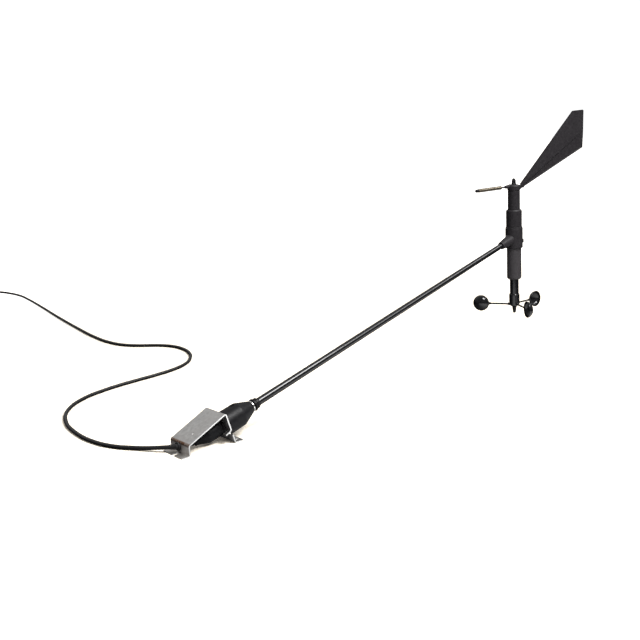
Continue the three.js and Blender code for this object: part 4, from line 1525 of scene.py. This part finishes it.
def cup_shell():
    """A bowl open at its mouth, with a rolled bead, and a boss for its arm."""
    inner, inner_depth = CUP_RADIUS - CUP_WALL, CUP_DEPTH - CUP_WALL
    outside = [(x, z * CUP_DEPTH / CUP_RADIUS) for x, z in arc(CUP_RADIUS, math.pi / 2, 0.1, 22)]
    outside[0] = (0, CUP_DEPTH)
    bead = arc(0.95, rad(55), rad(-150), 8, (CUP_RADIUS - 0.35, -0.15))
    inside = [(x, z * inner_depth / inner) for x, z in arc(inner, 0.0, math.pi / 2, 22)]
    inside[-1] = (0, inner_depth)
    shell = lathe(outside + bead + inside, 72)
    turn = Matrix.Rotation(-math.pi / 2, 4, "X")
    shell = moved(shell, Matrix.Translation((CUP_CIRCLE, 0, 0)) @ turn)
    start = CUP_CIRCLE - CUP_RADIUS - 4.5
    boss_corners = [(0, 0), (2.5, 0, 0.5), (3.3, 6.6), (0, 6.6)]
    boss = along_spoke(turned(boss_corners, 4, 40, closed=False), start)
    hollow = bmesh.new()
    bmesh.ops.create_uvsphere(hollow, u_segments=72, v_segments=44, radius=inner + 0.4)
    flatten = Matrix.Diagonal((1, inner_depth / inner, 1, 1))
    place = Matrix.Translation((CUP_CIRCLE, 0, 0)) @ flatten
    boss = combined(boss, [moved(hollow, place)], "DIFFERENCE")
    return combined(shell, [boss], "UNION")


def cup_arm():
    start = 6.8
    end = CUP_CIRCLE - CUP_RADIUS - 1.3
    return along_spoke(rod(CUP_ARM_RADIUS, 0, end - start, 0.3, 40), start)


piece("rotor_hub", rotor_hub(), ROTOR_FRAME, "cup_hub", sharp=32)
piece("rotor_tip", hub_tip(), ROTOR_FRAME, "cup_hub_nut")
for i in range(CUP_COUNT):
    piece(f"cup_rod_{i + 1}", cup_arm(), spoke_frame(i), f"cup_arm_{i + 1}")
    piece(f"cup_shell_{i + 1}", cup_shell(), spoke_frame(i), f"cup_{i + 1}", sharp=30)

# ---- Carried-over CAD nodes ----------------------------------------------------------

for name, node in frame["nodes"].items():
    node.data.materials.clear()
    node.data.materials.append(MATERIALS[SLOT_OF[name]])

# ---- Floor, light and background -----------------------------------------------------

FLOOR_SHADE = (1.42, 1.3, 1.12)  # over 1: the floor is exposed to plain white
FLOOR_SHADE_LIGHT = (1.46, 1.34, 1.15)
FLOOR_GLOW = (0.0, 1.2)  # beside the object, and far from it
GLOW_SPAN = (0.9, 2.2)
TABLE_MIDDLE = (0.4, -0.1, 0)
TABLE_SPAN = (0.3, 0.8)
TABLE_SHADE = 0.95
NEAR_SIDE = (-0.62, -0.78, 0)
HORIZON_STRENGTH = (0.08, 0.22)  # on the far side, and on the near side
TOP_STRENGTH = (0.62, 0.25)


def node_value(tree, kind, operation, *values):
    """A Math or Vector Math node over sockets and constants."""
    node = tree.nodes.new(kind)
    node.operation = operation
    for value, socket in zip(values, node.inputs):
        if isinstance(value, bpy.types.NodeSocket):
            tree.links.new(value, socket)
        else:
            socket.default_value = value
    return node


def ramp(tree, value, start, end, low, high):
    """Maps start..end of a value to low..high, smoothly."""
    node = tree.nodes.new("ShaderNodeMapRange")
    node.interpolation_type = "SMOOTHSTEP"
    for name, number in zip(("From Min", "From Max", "To Min", "To Max"), (start, end, low, high)):
        node.inputs[name].default_value = number
    tree.links.new(value, node.inputs["Value"])
    return node.outputs["Result"]


def for_camera(tree, seen, otherwise, output):
    """Shows one shader to the camera, and another to reflections and bounced light."""
    path = tree.nodes.new("ShaderNodeLightPath")
    mix = tree.nodes.new("ShaderNodeMixShader")
    tree.links.new(path.outputs["Is Camera Ray"], mix.inputs["Fac"])
    tree.links.new(otherwise, mix.inputs[1])
    tree.links.new(seen, mix.inputs[2])
    tree.links.new(mix.outputs["Shader"], output.inputs["Surface"])


def pale_floor():
    """A white floor. In reflections only the table under the object is bright."""
    size = 30
    mesh = bpy.data.meshes.new("floor")
    mesh.from_pydata(
        [(-size, -size, 0), (size, -size, 0), (size, size, 0), (-size, size, 0)], [], [(0, 1, 2, 3)]
    )
    surface = Surface("pale_floor")
    tree = surface.tree
    paper = surface.noise(3, 2)
    surface.colour(surface.mix(surface.spread(paper, 0, 1), FLOOR_SHADE, FLOOR_SHADE_LIGHT))
    surface.roughness(surface.spread(paper, 0.55, 0.65))
    surface.shader.inputs["Emission Color"].default_value = (1, 1, 1, 1)
    away = node_value(tree, "ShaderNodeVectorMath", "DISTANCE", surface.place, TABLE_MIDDLE)
    glow = ramp(tree, away.outputs["Value"], *GLOW_SPAN, *FLOOR_GLOW)
    tree.links.new(glow, surface.shader.inputs["Emission Strength"])
    table = tree.nodes.new("ShaderNodeBsdfDiffuse")
    round_table = ramp(tree, away.outputs["Value"], *TABLE_SPAN, TABLE_SHADE, 0.03)
    nearer = node_value(tree, "ShaderNodeVectorMath", "DOT_PRODUCT", surface.place, (0, -1, 0))
    near_half = ramp(tree, nearer.outputs["Value"], -0.1, 0.15, 0.1, 1)
    shade = node_value(tree, "ShaderNodeMath", "MULTIPLY", round_table, near_half)
    tree.links.new(shade.outputs["Value"], table.inputs["Color"])
    for_camera(tree, surface.shader.outputs[0], table.outputs[0], tree.nodes["Material Output"])
    mesh.materials.append(surface.material)
    floor = bpy.data.objects.new("floor", mesh)
    bpy.context.scene.collection.objects.link(floor)


def studio_sky():
    """White behind the object. Its light is soft from above and from the near side."""
    world = bpy.data.worlds.new("studio")
    bpy.context.scene.world = world
    world.use_nodes = True
    tree = world.node_tree
    tree.nodes.clear()
    place = tree.nodes.new("ShaderNodeTexCoord").outputs["Generated"]
    split = tree.nodes.new("ShaderNodeSeparateXYZ")
    tree.links.new(place, split.inputs["Vector"])
    near = node_value(tree, "ShaderNodeVectorMath", "DOT_PRODUCT", place, NEAR_SIDE)
    horizon = ramp(tree, near.outputs["Value"], -0.5, 0.6, *HORIZON_STRENGTH)
    raised = ramp(tree, split.outputs["Z"], 0.05, 0.6, 0, 1)
    top = ramp(tree, near.outputs["Value"], -0.5, 0.6, *TOP_STRENGTH)
    strength = tree.nodes.new("ShaderNodeMix")
    tree.links.new(raised, strength.inputs["Factor"])
    tree.links.new(horizon, strength.inputs["A"])
    tree.links.new(top, strength.inputs["B"])
    dome = tree.nodes.new("ShaderNodeBackground")
    tree.links.new(strength.outputs["Result"], dome.inputs["Strength"])
    dome.inputs["Color"].default_value = (1, 1, 1, 1)
    white = tree.nodes.new("ShaderNodeBackground")
    white.inputs["Color"].default_value = (1, 1, 1, 1)
    white.inputs["Strength"].default_value = 1.1
    output = tree.nodes.new("ShaderNodeOutputWorld")
    for_camera(tree, white.outputs[0], dome.outputs[0], output)


def softbox(name, place, target, size, power):
    light = bpy.data.lights.new(name, "AREA")
    light.shape = "RECTANGLE"
    light.size, light.size_y = size
    light.energy = power
    lamp = bpy.data.objects.new(name, light)
    way = Vector(target) - Vector(place)
    lamp.matrix_world = Matrix.Translation(place) @ way.to_track_quat("-Z", "Y").to_matrix().to_4x4()
    bpy.context.scene.collection.objects.link(lamp)


pale_floor()
studio_sky()
softbox("key", (0.45, -1.15, 1.9), (0.35, 0, 0.1), (1.0, 0.9), 62)
softbox("strip", (1.65, -1.15, 1.9), (0.7, 0, 0.1), (1.4, 0.45), 20)
bpy.context.scene.view_settings.view_transform = "Standard"
bpy.context.scene.view_settings.look = "None"
